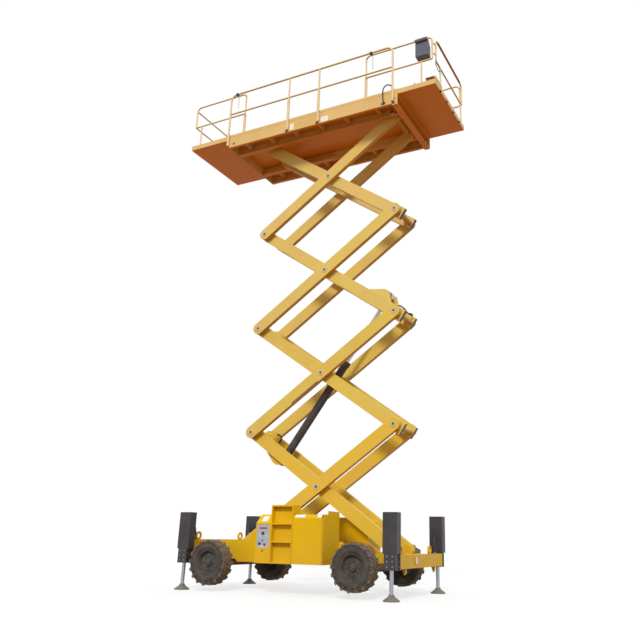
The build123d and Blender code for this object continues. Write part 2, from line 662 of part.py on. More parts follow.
# ---------------------------------------------------------------- axles, wheels
def axles():
    """A solid box axle at each end; the front one ends in steering yokes."""
    reach = KINGPIN_Y - KNUCKLE_RADIUS - KNUCKLE_SWING
    front = box(AXLE_FRONT_X - AXLE_HALF_DEPTH, AXLE_FRONT_X + AXLE_HALF_DEPTH, -reach, reach,
                AXLE_BOTTOM, AXLE_TOP)
    x0, x1 = AXLE_FRONT_X - YOKE_HALF, AXLE_FRONT_X + YOKE_HALF
    inside = KNUCKLE_HALF + YOKE_GAP
    outside = inside + YOKE_PLATE

    def yoke(side):
        root, tip = side * (reach - YOKE_ROOT), side * (KINGPIN_Y + YOKE_TIP)
        piece = box(x0, x1, root, tip, HUB_Z + inside, HUB_Z + outside)
        piece += box(x0, x1, root, tip, HUB_Z - outside, HUB_Z - inside)
        piece += box(x0, x1, root, side * reach, HUB_Z - outside, HUB_Z + outside)
        return piece - upright(KINGPIN_RADIUS + PIN_FIT, HUB_Z - outside - 1, HUB_Z + outside + 1,
                               AXLE_FRONT_X, side * KINGPIN_Y)

    parts["front_axle"] = front + both_sides(yoke)

    rear_reach = KINGPIN_Y + REAR_AXLE_TIP
    rear = box(AXLE_REAR_X - AXLE_HALF_DEPTH, AXLE_REAR_X + AXLE_HALF_DEPTH, -rear_reach,
               rear_reach, AXLE_BOTTOM, AXLE_TOP)
    rear += across(SPINDLE_RADIUS, -SPINDLE_END, SPINDLE_END, AXLE_REAR_X, HUB_Z)
    parts["rear_axle"] = rear


def knuckle(side):
    """Steering knuckle: a barrel on its kingpin, the wheel's spindle, and an
    arm straight back to the tie rod."""
    y = side * KINGPIN_Y
    piece = upright(KNUCKLE_RADIUS, HUB_Z - KNUCKLE_HALF, HUB_Z + KNUCKLE_HALF, AXLE_FRONT_X, y)
    pin_half = KNUCKLE_HALF + YOKE_GAP + YOKE_PLATE + KINGPIN_HEAD
    piece += upright(KINGPIN_RADIUS, HUB_Z - pin_half, HUB_Z + pin_half, AXLE_FRONT_X, y)
    piece += across(SPINDLE_RADIUS, y, side * SPINDLE_END, AXLE_FRONT_X, HUB_Z)
    z = HUB_Z - KNUCKLE_HALF
    ball_x = AXLE_FRONT_X - STEER_ARM
    outline = [(AXLE_FRONT_X, y - STEER_ARM_ROOT), (AXLE_FRONT_X, y + STEER_ARM_ROOT),
               (ball_x, y + STEER_ARM_TIP), (ball_x, y - STEER_ARM_TIP)]
    face = make_face(Polyline([(px, py, z) for px, py in outline], close=True))
    piece += extrude(face, amount=STEER_PLATE, dir=(0, 0, 1))
    piece += upright(STEER_ARM_TIP, z, z + STEER_PLATE, ball_x, y)
    piece += upright(BALL_PIN_RADIUS, z - BALL_PIN_LENGTH, z + STEER_PLATE, ball_x, y)
    return piece


def tie_rod():
    """Ties the two steering arms, behind the axle."""
    x = AXLE_FRONT_X - STEER_ARM
    z = HUB_Z - KNUCKLE_HALF - TIE_ROD_DROP
    rod = across(TIE_ROD_RADIUS, -KINGPIN_Y, KINGPIN_Y, x, z)
    for side in (-1, 1):
        rod += upright(TIE_EYE_RADIUS, z - TIE_EYE_HALF, z + TIE_EYE_HALF, x, side * KINGPIN_Y)
    for side in (-1, 1):
        rod -= upright(BALL_PIN_RADIUS + PIN_FIT, z - 2 * TIE_EYE_HALF, z + 2 * TIE_EYE_HALF, x,
                       side * KINGPIN_Y)
    return rod


def tyre():
    """Tyre about the Y axis: a round-shouldered carcass with slanting lugs
    that reach from the crown over each shoulder."""
    half = TYRE_WIDTH / 2
    carcass = TYRE_RADIUS - LUG_DEPTH
    bead = RIM_RADIUS + TYRE_SEAT
    section = make_face(Polyline((-half + 34, bead), (-half, bead + 44), (-half, carcass - 62),
                                 (-half + 44, carcass - 6), (0, carcass), (half - 44, carcass - 6),
                                 (half, carcass - 62), (half, bead + 44), (half - 34, bead),
                                 close=True))
    body = revolve(section, axis=Axis.X)
    reach_y = LUG_SLANT / 2 + LUG_WIDTH / 2
    crown = (TYRE_RADIUS ** 2 - reach_y ** 2) ** 0.5
    for side in (-1, 1):
        for index in range(LUG_PITCHES):
            turn = 360 * (index + (0.5 if side > 0 else 0)) / LUG_PITCHES
            w = LUG_WIDTH / 2
            inner_x, outer_x = side * 6, side * (half - 2)
            outline = [(inner_x, -LUG_SLANT / 2 - w), (inner_x, -LUG_SLANT / 2 + w),
                       (outer_x, LUG_SLANT / 2 + w), (outer_x, LUG_SLANT / 2 - w)]
            foot = make_face(Polyline([(x, y, carcass - 70) for x, y in outline], close=True))
            lug = extrude(foot, amount=crown - carcass + 70, dir=(0, 0, 1))
            body += Rot(turn, 0, 0) * lug
    return Rot(0, 0, 90) * body


def rim():
    """Wheel about the Y axis, its outer side towards -Y: a rim with a set-in
    disc and a domed hub, bored for the spindle."""
    half = RIM_WIDTH / 2
    r = RIM_RADIUS
    disc = -half + DISC_INSET
    well = r - 24
    profile = [(disc - 40, SPINDLE_RADIUS + PIN_FIT), (disc - 34, HUB_RADIUS - 10),
               (disc - 4, HUB_RADIUS), (disc, r - 70), (disc + 6, well - RIM_WALL),
               (-half, r - RIM_WALL), (-half, r), (half, r), (half, r - RIM_WALL),
               (disc + DISC_PLATE + 20, well - RIM_WALL), (disc + DISC_PLATE, r - 70),
               (disc + DISC_PLATE + 4, HUB_RADIUS), (disc + 64, HUB_RADIUS),
               (disc + 64, SPINDLE_RADIUS + PIN_FIT)]
    face = make_face(Polyline(profile, close=True))
    return Rot(0, 0, 90) * revolve(face, axis=Axis.X)


def wheels():
    tyre_shape = tyre()
    rim_shape = rim()
    for end, x in (("front", AXLE_FRONT_X), ("rear", AXLE_REAR_X)):
        for name, side in (("right", -1), ("left", 1)):
            place = Pos(x, side * WHEEL_Y, HUB_Z)
            if side > 0:
                place = place * Rot(0, 0, 180)
            parts[f"tyre_{end}_{name}"] = place * tyre_shape
            parts[f"rim_{end}_{name}"] = place * rim_shape


# ---------------------------------------------------------------- side pods
def pod_end(side, x0, x1, inner_only, step):
    """End wall of a pod, bored for the hood's hinge rod."""
    if inner_only:
        outline = [(BEAM_OUTER_Y, POD_BOTTOM), (STEP_INNER_Y - 1, POD_BOTTOM),
                   (STEP_INNER_Y - 1, POD_TOP), (BEAM_OUTER_Y, POD_TOP)]
    else:
        outline = [(BEAM_OUTER_Y, POD_BOTTOM), (POD_OUTER_Y, POD_BOTTOM),
                   (POD_OUTER_Y, POD_TOP - HOOD_ROUND), (POD_OUTER_Y - HOOD_ROUND, POD_TOP)]
        if step:
            outline += [(BULKHEAD_STEP_Y, POD_TOP), (BULKHEAD_STEP_Y, BULKHEAD_TOP)]
        outline += [(BEAM_OUTER_Y, BULKHEAD_TOP if step else POD_TOP)]
    wall = slab_yz([(side * y, z) for y, z in outline], x0, x1)
    return wall - along(HINGE_RADIUS + PIN_FIT, x0 - 1, x1 + 1, side * HOOD_HINGE_Y, HINGE_Z)


def pod(side):
    """Tray and end walls of one pod, outside the side beam."""
    tray = box(POD_REAR_X, POD_FRONT_X, side * BEAM_OUTER_Y, side * (POD_OUTER_Y - POD_SKIRT),
               POD_BOTTOM, POD_BOTTOM + POD_TRAY)
    tray += pod_end(side, POD_FRONT_X - POD_WALL, POD_FRONT_X, False, True)
    if side > 0:
        tray += pod_end(side, POD_REAR_X, POD_REAR_X + POD_WALL, False, False)
    else:
        tray += pod_end(side, STEP_FRONT_X - POD_WALL, STEP_FRONT_X, True, False)
        tray += pod_end(side, POD_REAR_X, POD_REAR_X + POD_WALL, True, False) & box(
            POD_REAR_X - 1, POD_REAR_X + POD_WALL + 1, -CONSOLE_INNER_Y, 0, 0, POD_TOP)
    return tray


def console():
    """Lower control box with a sloping lid, behind the steps on the right."""
    outline = [(-POD_OUTER_Y, POD_BOTTOM), (-POD_OUTER_Y, CONSOLE_FACE_TOP),
               (-CONSOLE_LID_Y, POD_TOP), (-CONSOLE_INNER_Y, POD_TOP),
               (-CONSOLE_INNER_Y, POD_BOTTOM + POD_TRAY),
               (-POD_OUTER_Y + POD_SKIRT, POD_BOTTOM + POD_TRAY),
               (-POD_OUTER_Y + POD_SKIRT, POD_BOTTOM)]
    body = slab_yz(outline, POD_REAR_X, CONSOLE_FRONT_X)
    x0, x1 = POD_REAR_X + PANEL_MARGIN, CONSOLE_FRONT_X - PANEL_MARGIN
    body -= box(x0, x1, -POD_OUTER_Y - 1, -POD_OUTER_Y + PANEL_PLATE, PANEL_BOTTOM, PANEL_TOP)
    return body


def steps():
    """Three climbing steps pressed into one box."""
    body = box(CONSOLE_FRONT_X, STEP_FRONT_X, -POD_OUTER_Y, -STEP_INNER_Y,
               POD_BOTTOM + POD_TRAY, STEP_LEVELS[-1])
    body += box(CONSOLE_FRONT_X, STEP_FRONT_X, -POD_OUTER_Y, -POD_OUTER_Y + POD_SKIRT, POD_BOTTOM,
                POD_BOTTOM + POD_TRAY + 1)
    for low, high in zip(STEP_LEVELS, STEP_LEVELS[1:]):
        body -= box(CONSOLE_FRONT_X + STEP_CHEEK, STEP_FRONT_X - STEP_CHEEK, -POD_OUTER_Y - 1,
                    -POD_OUTER_Y + STEP_POCKET, low, high - STEP_PLATE)
    return body


def hood(side, rear_x):
    """Hinged cover: a sheet bent over the top and down the outer side, with a
    knuckle along its inner edge."""
    front_x = POD_FRONT_X - POD_WALL - HOOD_GAP
    arc_y = POD_OUTER_Y - HOOD_ROUND
    arc_z = POD_TOP - HOOD_ROUND
    mid = HOOD_ROUND * sin(radians(45))
    sheet = POD_SHEET
    path = Polyline((0, HOOD_HINGE_Y, POD_TOP), (0, arc_y, POD_TOP))
    path += ThreePointArc((0, arc_y, POD_TOP), (0, arc_y + mid, arc_z + mid), (0, POD_OUTER_Y, arc_z))
    path += Polyline((0, POD_OUTER_Y, arc_z), (0, POD_OUTER_Y, POD_BOTTOM))
    inner_mid = (HOOD_ROUND - sheet) * sin(radians(45))
    path += Polyline((0, POD_OUTER_Y, POD_BOTTOM), (0, POD_OUTER_Y - sheet, POD_BOTTOM),
                     (0, POD_OUTER_Y - sheet, arc_z))
    path += ThreePointArc((0, POD_OUTER_Y - sheet, arc_z),
                          (0, arc_y + inner_mid, arc_z + inner_mid), (0, arc_y, POD_TOP - sheet))
    path += Polyline((0, arc_y, POD_TOP - sheet), (0, HOOD_HINGE_Y, POD_TOP - sheet),
                     (0, HOOD_HINGE_Y, POD_TOP))
    cover = Pos(rear_x + HOOD_GAP, 0, 0) * extrude(make_face(path), amount=front_x - rear_x - HOOD_GAP,
                                                   dir=(1, 0, 0))
    cover += along(HINGE_RADIUS, rear_x - POD_WALL / 2, front_x + HOOD_GAP + POD_WALL / 2,
                   HOOD_HINGE_Y, HINGE_Z)
    if side < 0:
        cover = mirror(cover, about=Plane.XZ)
    return cover


def pods():
    parts["pod_right"] = pod(-1)
    parts["pod_left"] = pod(1)
    parts["lower_console"] = console()
    parts["control_panel"] = box(POD_REAR_X + PANEL_MARGIN, CONSOLE_FRONT_X - PANEL_MARGIN,
                                 -POD_OUTER_Y + 4, -POD_OUTER_Y + PANEL_PLATE, PANEL_BOTTOM, PANEL_TOP)
    parts["step_unit"] = steps()
    parts["hood_right"] = hood(-1, STEP_FRONT_X)
    parts["hood_left"] = hood(1, POD_REAR_X + POD_WALL)
    floor = POD_BOTTOM + POD_TRAY
    for name, (x0, x1, y0, y1, height) in POD_BLOCKS.items():
        parts[name] = box(x0, x1, y0, y1, floor, floor + height)


# ---------------------------------------------------------------- platform
def platform_frame():
    """Channel side beams with toe strips, end beams and joists, and the
    roller tracks and the ears of the fixed top pins under the deck."""
    half = DECK_HALF_WIDTH
    wall = CHANNEL_WALL
    frame = box(DECK_REAR_X, DECK_REAR_X + REAR_END_PLATE, -half, half, FRAME_BOTTOM, JOIST_TOP)
    front_rear_x = DECK_FRONT_X - FRONT_END_DEPTH
    front_bottom = FRAME_BOTTOM - FRONT_END_DROP
    frame += box(front_rear_x, DECK_FRONT_X, -half, half, front_bottom, JOIST_TOP)
    frame -= box(front_rear_x + wall, DECK_FRONT_X + 1, wall - half, half - wall,
                 front_bottom + wall, JOIST_TOP - wall)
    outer = TRACK_BEAM_Y + TRACK_BEAM_WIDTH
    track_bottom = TOP_PIN_Z - TRACK_HALF - TRACK_FLANGE

    def side_members(side):
        piece = box(DECK_REAR_X, DECK_FRONT_X, side * WEB_Y, side * half, FRAME_BOTTOM, JOIST_TOP)
        piece += box(DECK_REAR_X, DECK_FRONT_X, side * WEB_Y, side * (half - STRIP_SETBACK),
                     JOIST_TOP - WELD, SIDE_TOP)
        for z0 in (FRAME_BOTTOM, JOIST_TOP - wall):
            piece += box(DECK_REAR_X, front_rear_x + WELD, side * (half - FRAME_FLANGE),
                         side * (WEB_Y + WELD), z0, z0 + wall)
        track = box(DECK_REAR_X, front_rear_x + WELD, side * TRACK_BEAM_Y, side * outer,
                    track_bottom, JOIST_TOP)
        track -= box(DECK_REAR_X + REAR_END_PLATE, front_rear_x, side * (TRACK_BEAM_Y + wall),
                     side * (outer + 1), track_bottom + wall, JOIST_TOP - wall)
        piece += track
        for z0 in (TOP_PIN_Z + TRACK_HALF, track_bottom):
            piece += box(TRACK_REAR_X, TRACK_FRONT_X, side * (TRACK_BEAM_Y - TRACK_LIP),
                         side * (TRACK_BEAM_Y + WELD), z0, z0 + TRACK_FLANGE)
        for x in JOISTS:
            piece += box(x - JOIST_HALF, x + JOIST_HALF, side * (outer - WELD),
                         side * (WEB_Y + WELD), TOP_PIN_Z, JOIST_TOP)
        piece += top_ears(side)
        return piece - across(PIN_RADIUS + PIN_FIT, side * INNER_ARM_Y, side * (outer + 1),
                              BASE_PIN_X, TOP_PIN_Z)

    return frame + both_sides(side_members)


def top_ears(side):
    """Ears on each side of an outer arm's head, hung from a cross plate."""
    for_inner = side * (OUTER_ARM_Y - EAR_GAP)
    for_outer = side * (OUTER_FACE_Y + CAP_THICKNESS + EAR_GAP)
    piece = ear(for_inner - side * EAR_PLATE, for_inner, TOP_PIN_Z, JOIST_TOP, TOP_EAR_FOOT)
    piece += ear(for_outer, for_outer + side * EAR_PLATE, TOP_PIN_Z, JOIST_TOP, TOP_EAR_FOOT)
    web_x = BASE_PIN_X + TOP_EAR_FOOT - WELD
    return piece + box(web_x - TOP_EAR_WEB, web_x, 0, side * (TRACK_BEAM_Y + WELD),
                       TOP_PIN_Z + PIN_RADIUS, JOIST_TOP)


def tray(tip, sign):
    """An extension deck: a flat folded pan that slides on the main deck
    between the toe strips, open at its inner end."""
    end = DECK_FRONT_X if sign > 0 else DECK_REAR_X
    root = end - sign * TRAY_OVERLAP
    sheet = TRAY_SHEET
    pan = box(tip, root, -TRAY_HALF, TRAY_HALF, TRAY_BOTTOM, TRAY_TOP)
    pan -= box(tip - sign * NOSE_PLATE, root - sign, sheet - TRAY_HALF, TRAY_HALF - sheet,
               TRAY_BOTTOM + sheet, TRAY_TOP - sheet)
    if sign > 0:
        plate_y = -TRAY_HALF + NOSE_PLATE_WIDTH
        pan += box(tip - NOSE_PLATE, tip, -TRAY_HALF, plate_y, TRAY_TOP - WELD,
                   TRAY_TOP + NOSE_PLATE_RISE)
        for y in NOSE_SLOTS:
            pan -= box(tip - 2 * NOSE_PLATE, tip + 1, y - SLOT_HALF, y + SLOT_HALF,
                       TRAY_BOTTOM - 1, TRAY_BOTTOM + SLOT_DEPTH)

    def runner(side):
        return box(root, end, side * (TRAY_HALF - TRAY_EDGE), side * (TRAY_HALF - WELD),
                   DECK_TOP + SEAT_GAP, TRAY_BOTTOM + WELD)

    return pan + both_sides(runner)


def bent_tube(points, radius, bend):
    """A tube bent round each inner point of its path, by one bend radius or
    by a list of them."""
    path = FilletPolyline(*points, radius=bend)
    start = Vector(*points[0])
    heading = Vector(*points[1]) - start
    return sweep(Plane(origin=start, z_dir=heading) * Circle(radius), path=path)


def link(start, end, radius):
    """A straight bar between two points."""
    heading = Vector(*end) - Vector(*start)
    return extrude(Plane(origin=start, z_dir=heading) * Circle(radius), amount=heading.length)


def main_rails():
    """Posts on the outside of the side beams under a bent top rail, with a
    knee rail, and sleeves that the middle posts drop into."""
    top = DECK_TOP + RAIL_HEIGHT
    knee = DECK_TOP + KNEE_HEIGHT
    low = FRAME_BOTTOM + POST_FOOT
    first, last = MAIN_POSTS[0], MAIN_POSTS[-1]

    def side_rail(side):
        y = side * MAIN_RAIL_Y
        piece = bent_tube([(first, y, low), (first, y, top), (last, y, top), (last, y, low)],
                          RAIL_RADIUS, RAIL_BEND)
        for x in (first, last):
            piece += upright(SLEEVE_RADIUS, low, SIDE_TOP + SOCKET_RISE, x, y)
        for x in MAIN_POSTS[1:-1]:
            piece += upright(POST_RADIUS, low, top, x, y)
            piece += upright(SLEEVE_RADIUS, low, knee - SLEEVE_GAP, x, y)
        return piece + along(POST_RADIUS, first, last, y, knee)

    return Compound(children=[side_rail(-1), side_rail(1)])


def side_loop(end, side):
    """One side of a tray's guard rail: up from its root post, along, and bent
    down and back at the nose into the knee rail."""
    root, post, nose = TRAY_POSTS[end]
    y = side * TRAY_RAIL_Y
    radius = TRAY_RAIL_RADIUS
    loop = bent_tube([(root, y, TRAY_TOP), (root, y, TRAY_RAIL_TOP), (nose, y, TRAY_RAIL_TOP),
                      (nose, y, TRAY_KNEE), (post, y, TRAY_KNEE)], radius,
                     [TRAY_RAIL_BEND, TRAY_RAIL_BEND, TRAY_KNEE_BEND])
    loop += along(radius - 1, root, post, y, TRAY_KNEE)
    loop += upright(SLEEVE_RADIUS, TRAY_TOP, TRAY_KNEE - SLEEVE_GAP, root, y)
    return loop + upright(radius - 1, TRAY_TOP, TRAY_KNEE, post, y)


def tray_rails_rear():
    """Two side loops, tied by two bars across the nose."""
    nose = TRAY_POSTS["rear"][2]
    rails = side_loop("rear", -1) + side_loop("rear", 1)
    for z in (TRAY_RAIL_TOP - END_BAR_DROP, TRAY_KNEE):
        rails += across(TRAY_RAIL_RADIUS - 1, -TRAY_RAIL_Y, TRAY_RAIL_Y, nose, z)
    return rails


def tray_rails_front():
    """Two side loops, and an end frame of its own across the nose."""
    radius = TRAY_RAIL_RADIUS
    nose = TRAY_POSTS["front"][2]
    x = TRAY_FRONT_TIP - NOSE_PLATE - radius - SEAT_GAP
    near, far = END_FRAME_INSET - TRAY_RAIL_Y, TRAY_RAIL_Y
    rails = side_loop("front", -1) + side_loop("front", 1)
    near_post, far_post = END_POSTS
    rails += bent_tube([(x, near_post, TRAY_KNEE), (x, near, TRAY_KNEE), (x, near, TRAY_RAIL_TOP),
                        (x, far, TRAY_RAIL_TOP), (x, far, TRAY_KNEE), (x, far_post, TRAY_KNEE)],
                       radius, [TRAY_KNEE_BEND, TRAY_RAIL_BEND, TRAY_RAIL_BEND, TRAY_KNEE_BEND])
    rails += across(radius - 1, near_post, far_post, x, TRAY_KNEE)
    for y in END_POSTS:
        rails += upright(radius - 1, TRAY_TOP, TRAY_KNEE, x, y)
    for z in (TRAY_RAIL_TOP - LINK_INSET, TRAY_KNEE + LINK_INSET):
        rails += link((nose, -TRAY_RAIL_Y, z), (x, near, z), LINK_RADIUS)
        rails += box(nose, x, far - LINK_PLATE / 2, far + LINK_PLATE / 2, z - LINK_PLATE_HALF,
                     z + LINK_PLATE_HALF)
    return rails


def upper_control_box():
    """Driving controls, hooked over the near rail of the front tray."""
    y = -TRAY_RAIL_Y + TRAY_RAIL_RADIUS + SEAT_GAP
    z = TRAY_RAIL_TOP + TRAY_RAIL_RADIUS + SEAT_GAP + HOOK_LIP
    low = z - UPPER_BOX_HEIGHT
    outline = [(y, low), (y, z), (y + UPPER_BOX_CROWN, z),
               (y + UPPER_BOX_WIDTH, z - UPPER_BOX_SLOPE), (y + UPPER_BOX_WIDTH, low)]
    x0, x1 = UPPER_BOX_X, UPPER_BOX_X + UPPER_BOX_LENGTH
    lip_y = -TRAY_RAIL_Y - TRAY_RAIL_RADIUS - SEAT_GAP
    body = slab_yz(outline, x0, x1)
    body += box(x0, x1, lip_y - HOOK_LIP, y + 1, z - HOOK_LIP, z)
    return body + box(x0, x1, lip_y - HOOK_LIP, lip_y, z - HOOK_LIP_DEPTH, z)


def platform():
    parts["platform_frame"] = platform_frame()
    parts["main_deck"] = box(DECK_REAR_X, DECK_FRONT_X, -WEB_Y, WEB_Y, JOIST_TOP, DECK_TOP)
    parts["main_rails"] = main_rails()
    parts["tray_rear"] = tray(TRAY_REAR_TIP, -1)
    parts["tray_front"] = tray(TRAY_FRONT_TIP, 1)
    parts["tray_rails_rear"] = tray_rails_rear()
    parts["tray_rails_front"] = tray_rails_front()
    parts["upper_control_box"] = upper_control_box()


# ---------------------------------------------------------------- whole machine
def build():
    parts["chassis_frame"] = chassis_frame()
    parts["front_crossbeam"] = crossbeam(BEAM_FRONT_X, BEAM_FRONT_X + FRONT_BEAM_DEPTH,
                                         FRONT_BEAM_TOP, OUTRIGGERS["front_right"][0])
    parts["rear_crossbeam"] = crossbeam(BEAM_REAR_X - REAR_BEAM_DEPTH, BEAM_REAR_X,
                                        REAR_BEAM_TOP, OUTRIGGERS["rear_right"][0])
    outriggers()
    axles()
    parts["knuckle_right"] = knuckle(-1)
    parts["knuckle_left"] = knuckle(1)
    parts["tie_rod"] = tie_rod()
    wheels()
    pods()
    scissor()
    lift_cylinder()
    platform()


build()
os.makedirs("parts", exist_ok=True)
for name, shape in parts.items():
    export_step(shape, f"parts/{name}.step")
print("lift cylinder", round(LIFT_ANGLE, 3), round(LIFT_LENGTH, 2), LOW_PIN, HIGH_PIN)
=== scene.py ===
import json
from math import atan2, cos, pi, radians, sin

import bmesh
import bpy
from mathutils import Matrix, Vector


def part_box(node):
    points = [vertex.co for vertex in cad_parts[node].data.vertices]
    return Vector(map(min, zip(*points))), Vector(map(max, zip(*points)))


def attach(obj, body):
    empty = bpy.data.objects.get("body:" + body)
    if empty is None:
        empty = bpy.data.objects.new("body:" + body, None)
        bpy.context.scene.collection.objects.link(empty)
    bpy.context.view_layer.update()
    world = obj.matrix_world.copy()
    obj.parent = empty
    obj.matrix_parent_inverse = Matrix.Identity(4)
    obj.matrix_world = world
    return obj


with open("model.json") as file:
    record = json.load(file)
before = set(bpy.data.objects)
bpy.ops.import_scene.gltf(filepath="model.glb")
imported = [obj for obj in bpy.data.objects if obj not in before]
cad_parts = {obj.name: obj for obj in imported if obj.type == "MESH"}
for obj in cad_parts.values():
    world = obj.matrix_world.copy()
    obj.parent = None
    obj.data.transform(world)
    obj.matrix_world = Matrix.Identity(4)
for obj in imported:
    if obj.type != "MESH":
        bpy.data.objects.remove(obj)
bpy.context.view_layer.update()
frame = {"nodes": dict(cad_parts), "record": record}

# ---------------------------------------------------------------- camera
# The machine is seen from low down, off its front right corner, with the
# raised platform high above the eye.
CAMERA_PLACE = (6.571, -11.138, 0.897)
CAMERA_YAW = 0.4538
CAMERA_PITCH = 0.3187
CAMERA_ROLL = 0.0171
SENSOR_WIDTH = 36.0
FOCAL_LENGTH = 38.386125
CENTRE_SHIFT = (-0.0747, -0.0107)

camera_data = bpy.data.cameras.new("camera")
camera_data.sensor_width = SENSOR_WIDTH
camera_data.lens = FOCAL_LENGTH
camera_data.shift_x, camera_data.shift_y = CENTRE_SHIFT
camera_data.clip_end = 500
camera = bpy.data.objects.new("camera", camera_data)
bpy.context.scene.collection.objects.link(camera)
camera.matrix_world = (Matrix.Translation(CAMERA_PLACE) @ Matrix.Rotation(CAMERA_YAW, 4, "Z")
                       @ Matrix.Rotation(pi / 2 + CAMERA_PITCH, 4, "X")
                       @ Matrix.Rotation(CAMERA_ROLL, 4, "Z"))
bpy.context.scene.camera = camera
bpy.context.scene.view_settings.view_transform = "Standard"


# ---------------------------------------------------------------- floor and light
# A pale studio floor that runs out of sight under an even sky, with one broad
# soft lamp from behind the viewer. The floor gives back a dim warm light, as
# trodden ground does, so the undersides stay darker than the sides.
FLOOR_HALF = 150.0
FLOOR_TONE = "#FFFFFF"
GROUND_BOUNCE = "#A98860"
SKY_LIGHT = 0.72
SUN_STRENGTH = 2.1
SUN_SIZE = radians(12)
SUN_FROM = (3.2, -9.0, 7.5)
FLOOR_GLOW = 0.72            # share of the floor's look that is its own light


def linear(hex_colour):
    """An sRGB hex colour as linear red, green, blue and alpha."""
    parts = [int(hex_colour[i:i + 2], 16) / 255 for i in (1, 3, 5)]
    return tuple(c / 12.92 if c <= 0.04045 else ((c + 0.055) / 1.055) ** 2.4 for c in parts) + (1.0,)


def add_node(owner, kind, settings=None, links=None):
    """Adds a node. Settings are its properties, or values of its sockets by
    name or number; links are sockets fed by another node's output."""
    node = owner.node_tree.nodes.new("ShaderNode" + kind)
    for name, value in (settings or {}).items():
        if isinstance(name, int) or name in node.inputs:
            node.inputs[name].default_value = value
        else:
            setattr(node, name, value)
    for name, source in (links or {}).items():
        owner.node_tree.links.new(node.inputs[name], source)
    return node


def bare_material(name):
    """A material with nothing but its output node."""
    made = bpy.data.materials.new(name)
    made.use_nodes = True
    made.node_tree.nodes.clear()
    return made


def seen_directly(owner):
    """1 where the eye, a mirror or glass looks at the surface, 0 where only
    its light on other things counts."""
    path = add_node(owner, "LightPath")
    mirror = add_node(owner, "Math", {"operation": "MAXIMUM"},
                      {0: path.outputs["Is Camera Ray"], 1: path.outputs["Is Glossy Ray"]})
    return add_node(owner, "Math", {"operation": "MAXIMUM"},
                    {0: mirror.outputs[0], 1: path.outputs["Is Transmission Ray"]}).outputs[0]


world = bpy.data.worlds.new("studio_sky")
bpy.context.scene.world = world
world.use_nodes = True
world.node_tree.nodes.clear()
sky_light = add_node(world, "Background", {"Color": linear("#F4F6FA"), "Strength": SKY_LIGHT})
sky_seen = add_node(world, "Background", {"Color": (1, 1, 1, 1), "Strength": 1.0})
sky = add_node(world, "MixShader", links={0: seen_directly(world), 1: sky_light.outputs[0],
                                          2: sky_seen.outputs[0]})
add_node(world, "OutputWorld", links={"Surface": sky.outputs[0]})

floor_paint = bare_material("studio_floor_paint")
floor_tone = add_node(floor_paint, "Mix", {"data_type": "RGBA", 6: linear(GROUND_BOUNCE),
                                           7: linear(FLOOR_TONE)}, {0: seen_directly(floor_paint)})
matt_floor = add_node(floor_paint, "BsdfDiffuse", links={"Color": floor_tone.outputs[2]})
glow = add_node(floor_paint, "Emission", {"Color": linear(FLOOR_TONE), "Strength": 1.0})
glow_share = add_node(floor_paint, "Math", {"operation": "MULTIPLY", 1: FLOOR_GLOW},
                      {0: seen_directly(floor_paint)})
floor_mix = add_node(floor_paint, "MixShader", links={0: glow_share.outputs[0], 1: matt_floor.outputs[0],
                                                      2: glow.outputs[0]})
add_node(floor_paint, "OutputMaterial", links={"Surface": floor_mix.outputs[0]})

bm = bmesh.new()
bmesh.ops.create_grid(bm, x_segments=1, y_segments=1, size=FLOOR_HALF)
floor_mesh = bpy.data.meshes.new("floor")
bm.to_mesh(floor_mesh)
bm.free()
floor_mesh.materials.append(floor_paint)
floor = bpy.data.objects.new("floor", floor_mesh)
bpy.context.scene.collection.objects.link(floor)

sun_data = bpy.data.lights.new("soft_lamp", "SUN")
sun_data.energy = SUN_STRENGTH
sun_data.angle = SUN_SIZE
sun_data.color = (1.0, 0.98, 0.94)
sun = bpy.data.objects.new("soft_lamp", sun_data)
bpy.context.scene.collection.objects.link(sun)
sun.rotation_euler = Vector(SUN_FROM).to_track_quat("Z", "Y").to_euler()


# ---------------------------------------------------------------- painted chassis
# Welded box beams, pods, console and steps, all sprayed with one yellow
# two-pack enamel. Dust lies on it low down, and faces that look at the ground
# are painted a brown shade.
CHASSIS_YELLOW = "#E0B406"
CHASSIS_FADED = "#D8AE14"
CHASSIS_PAINTED_SHADE = "#B4701C"
ROAD_DUST = "#A98A5C"


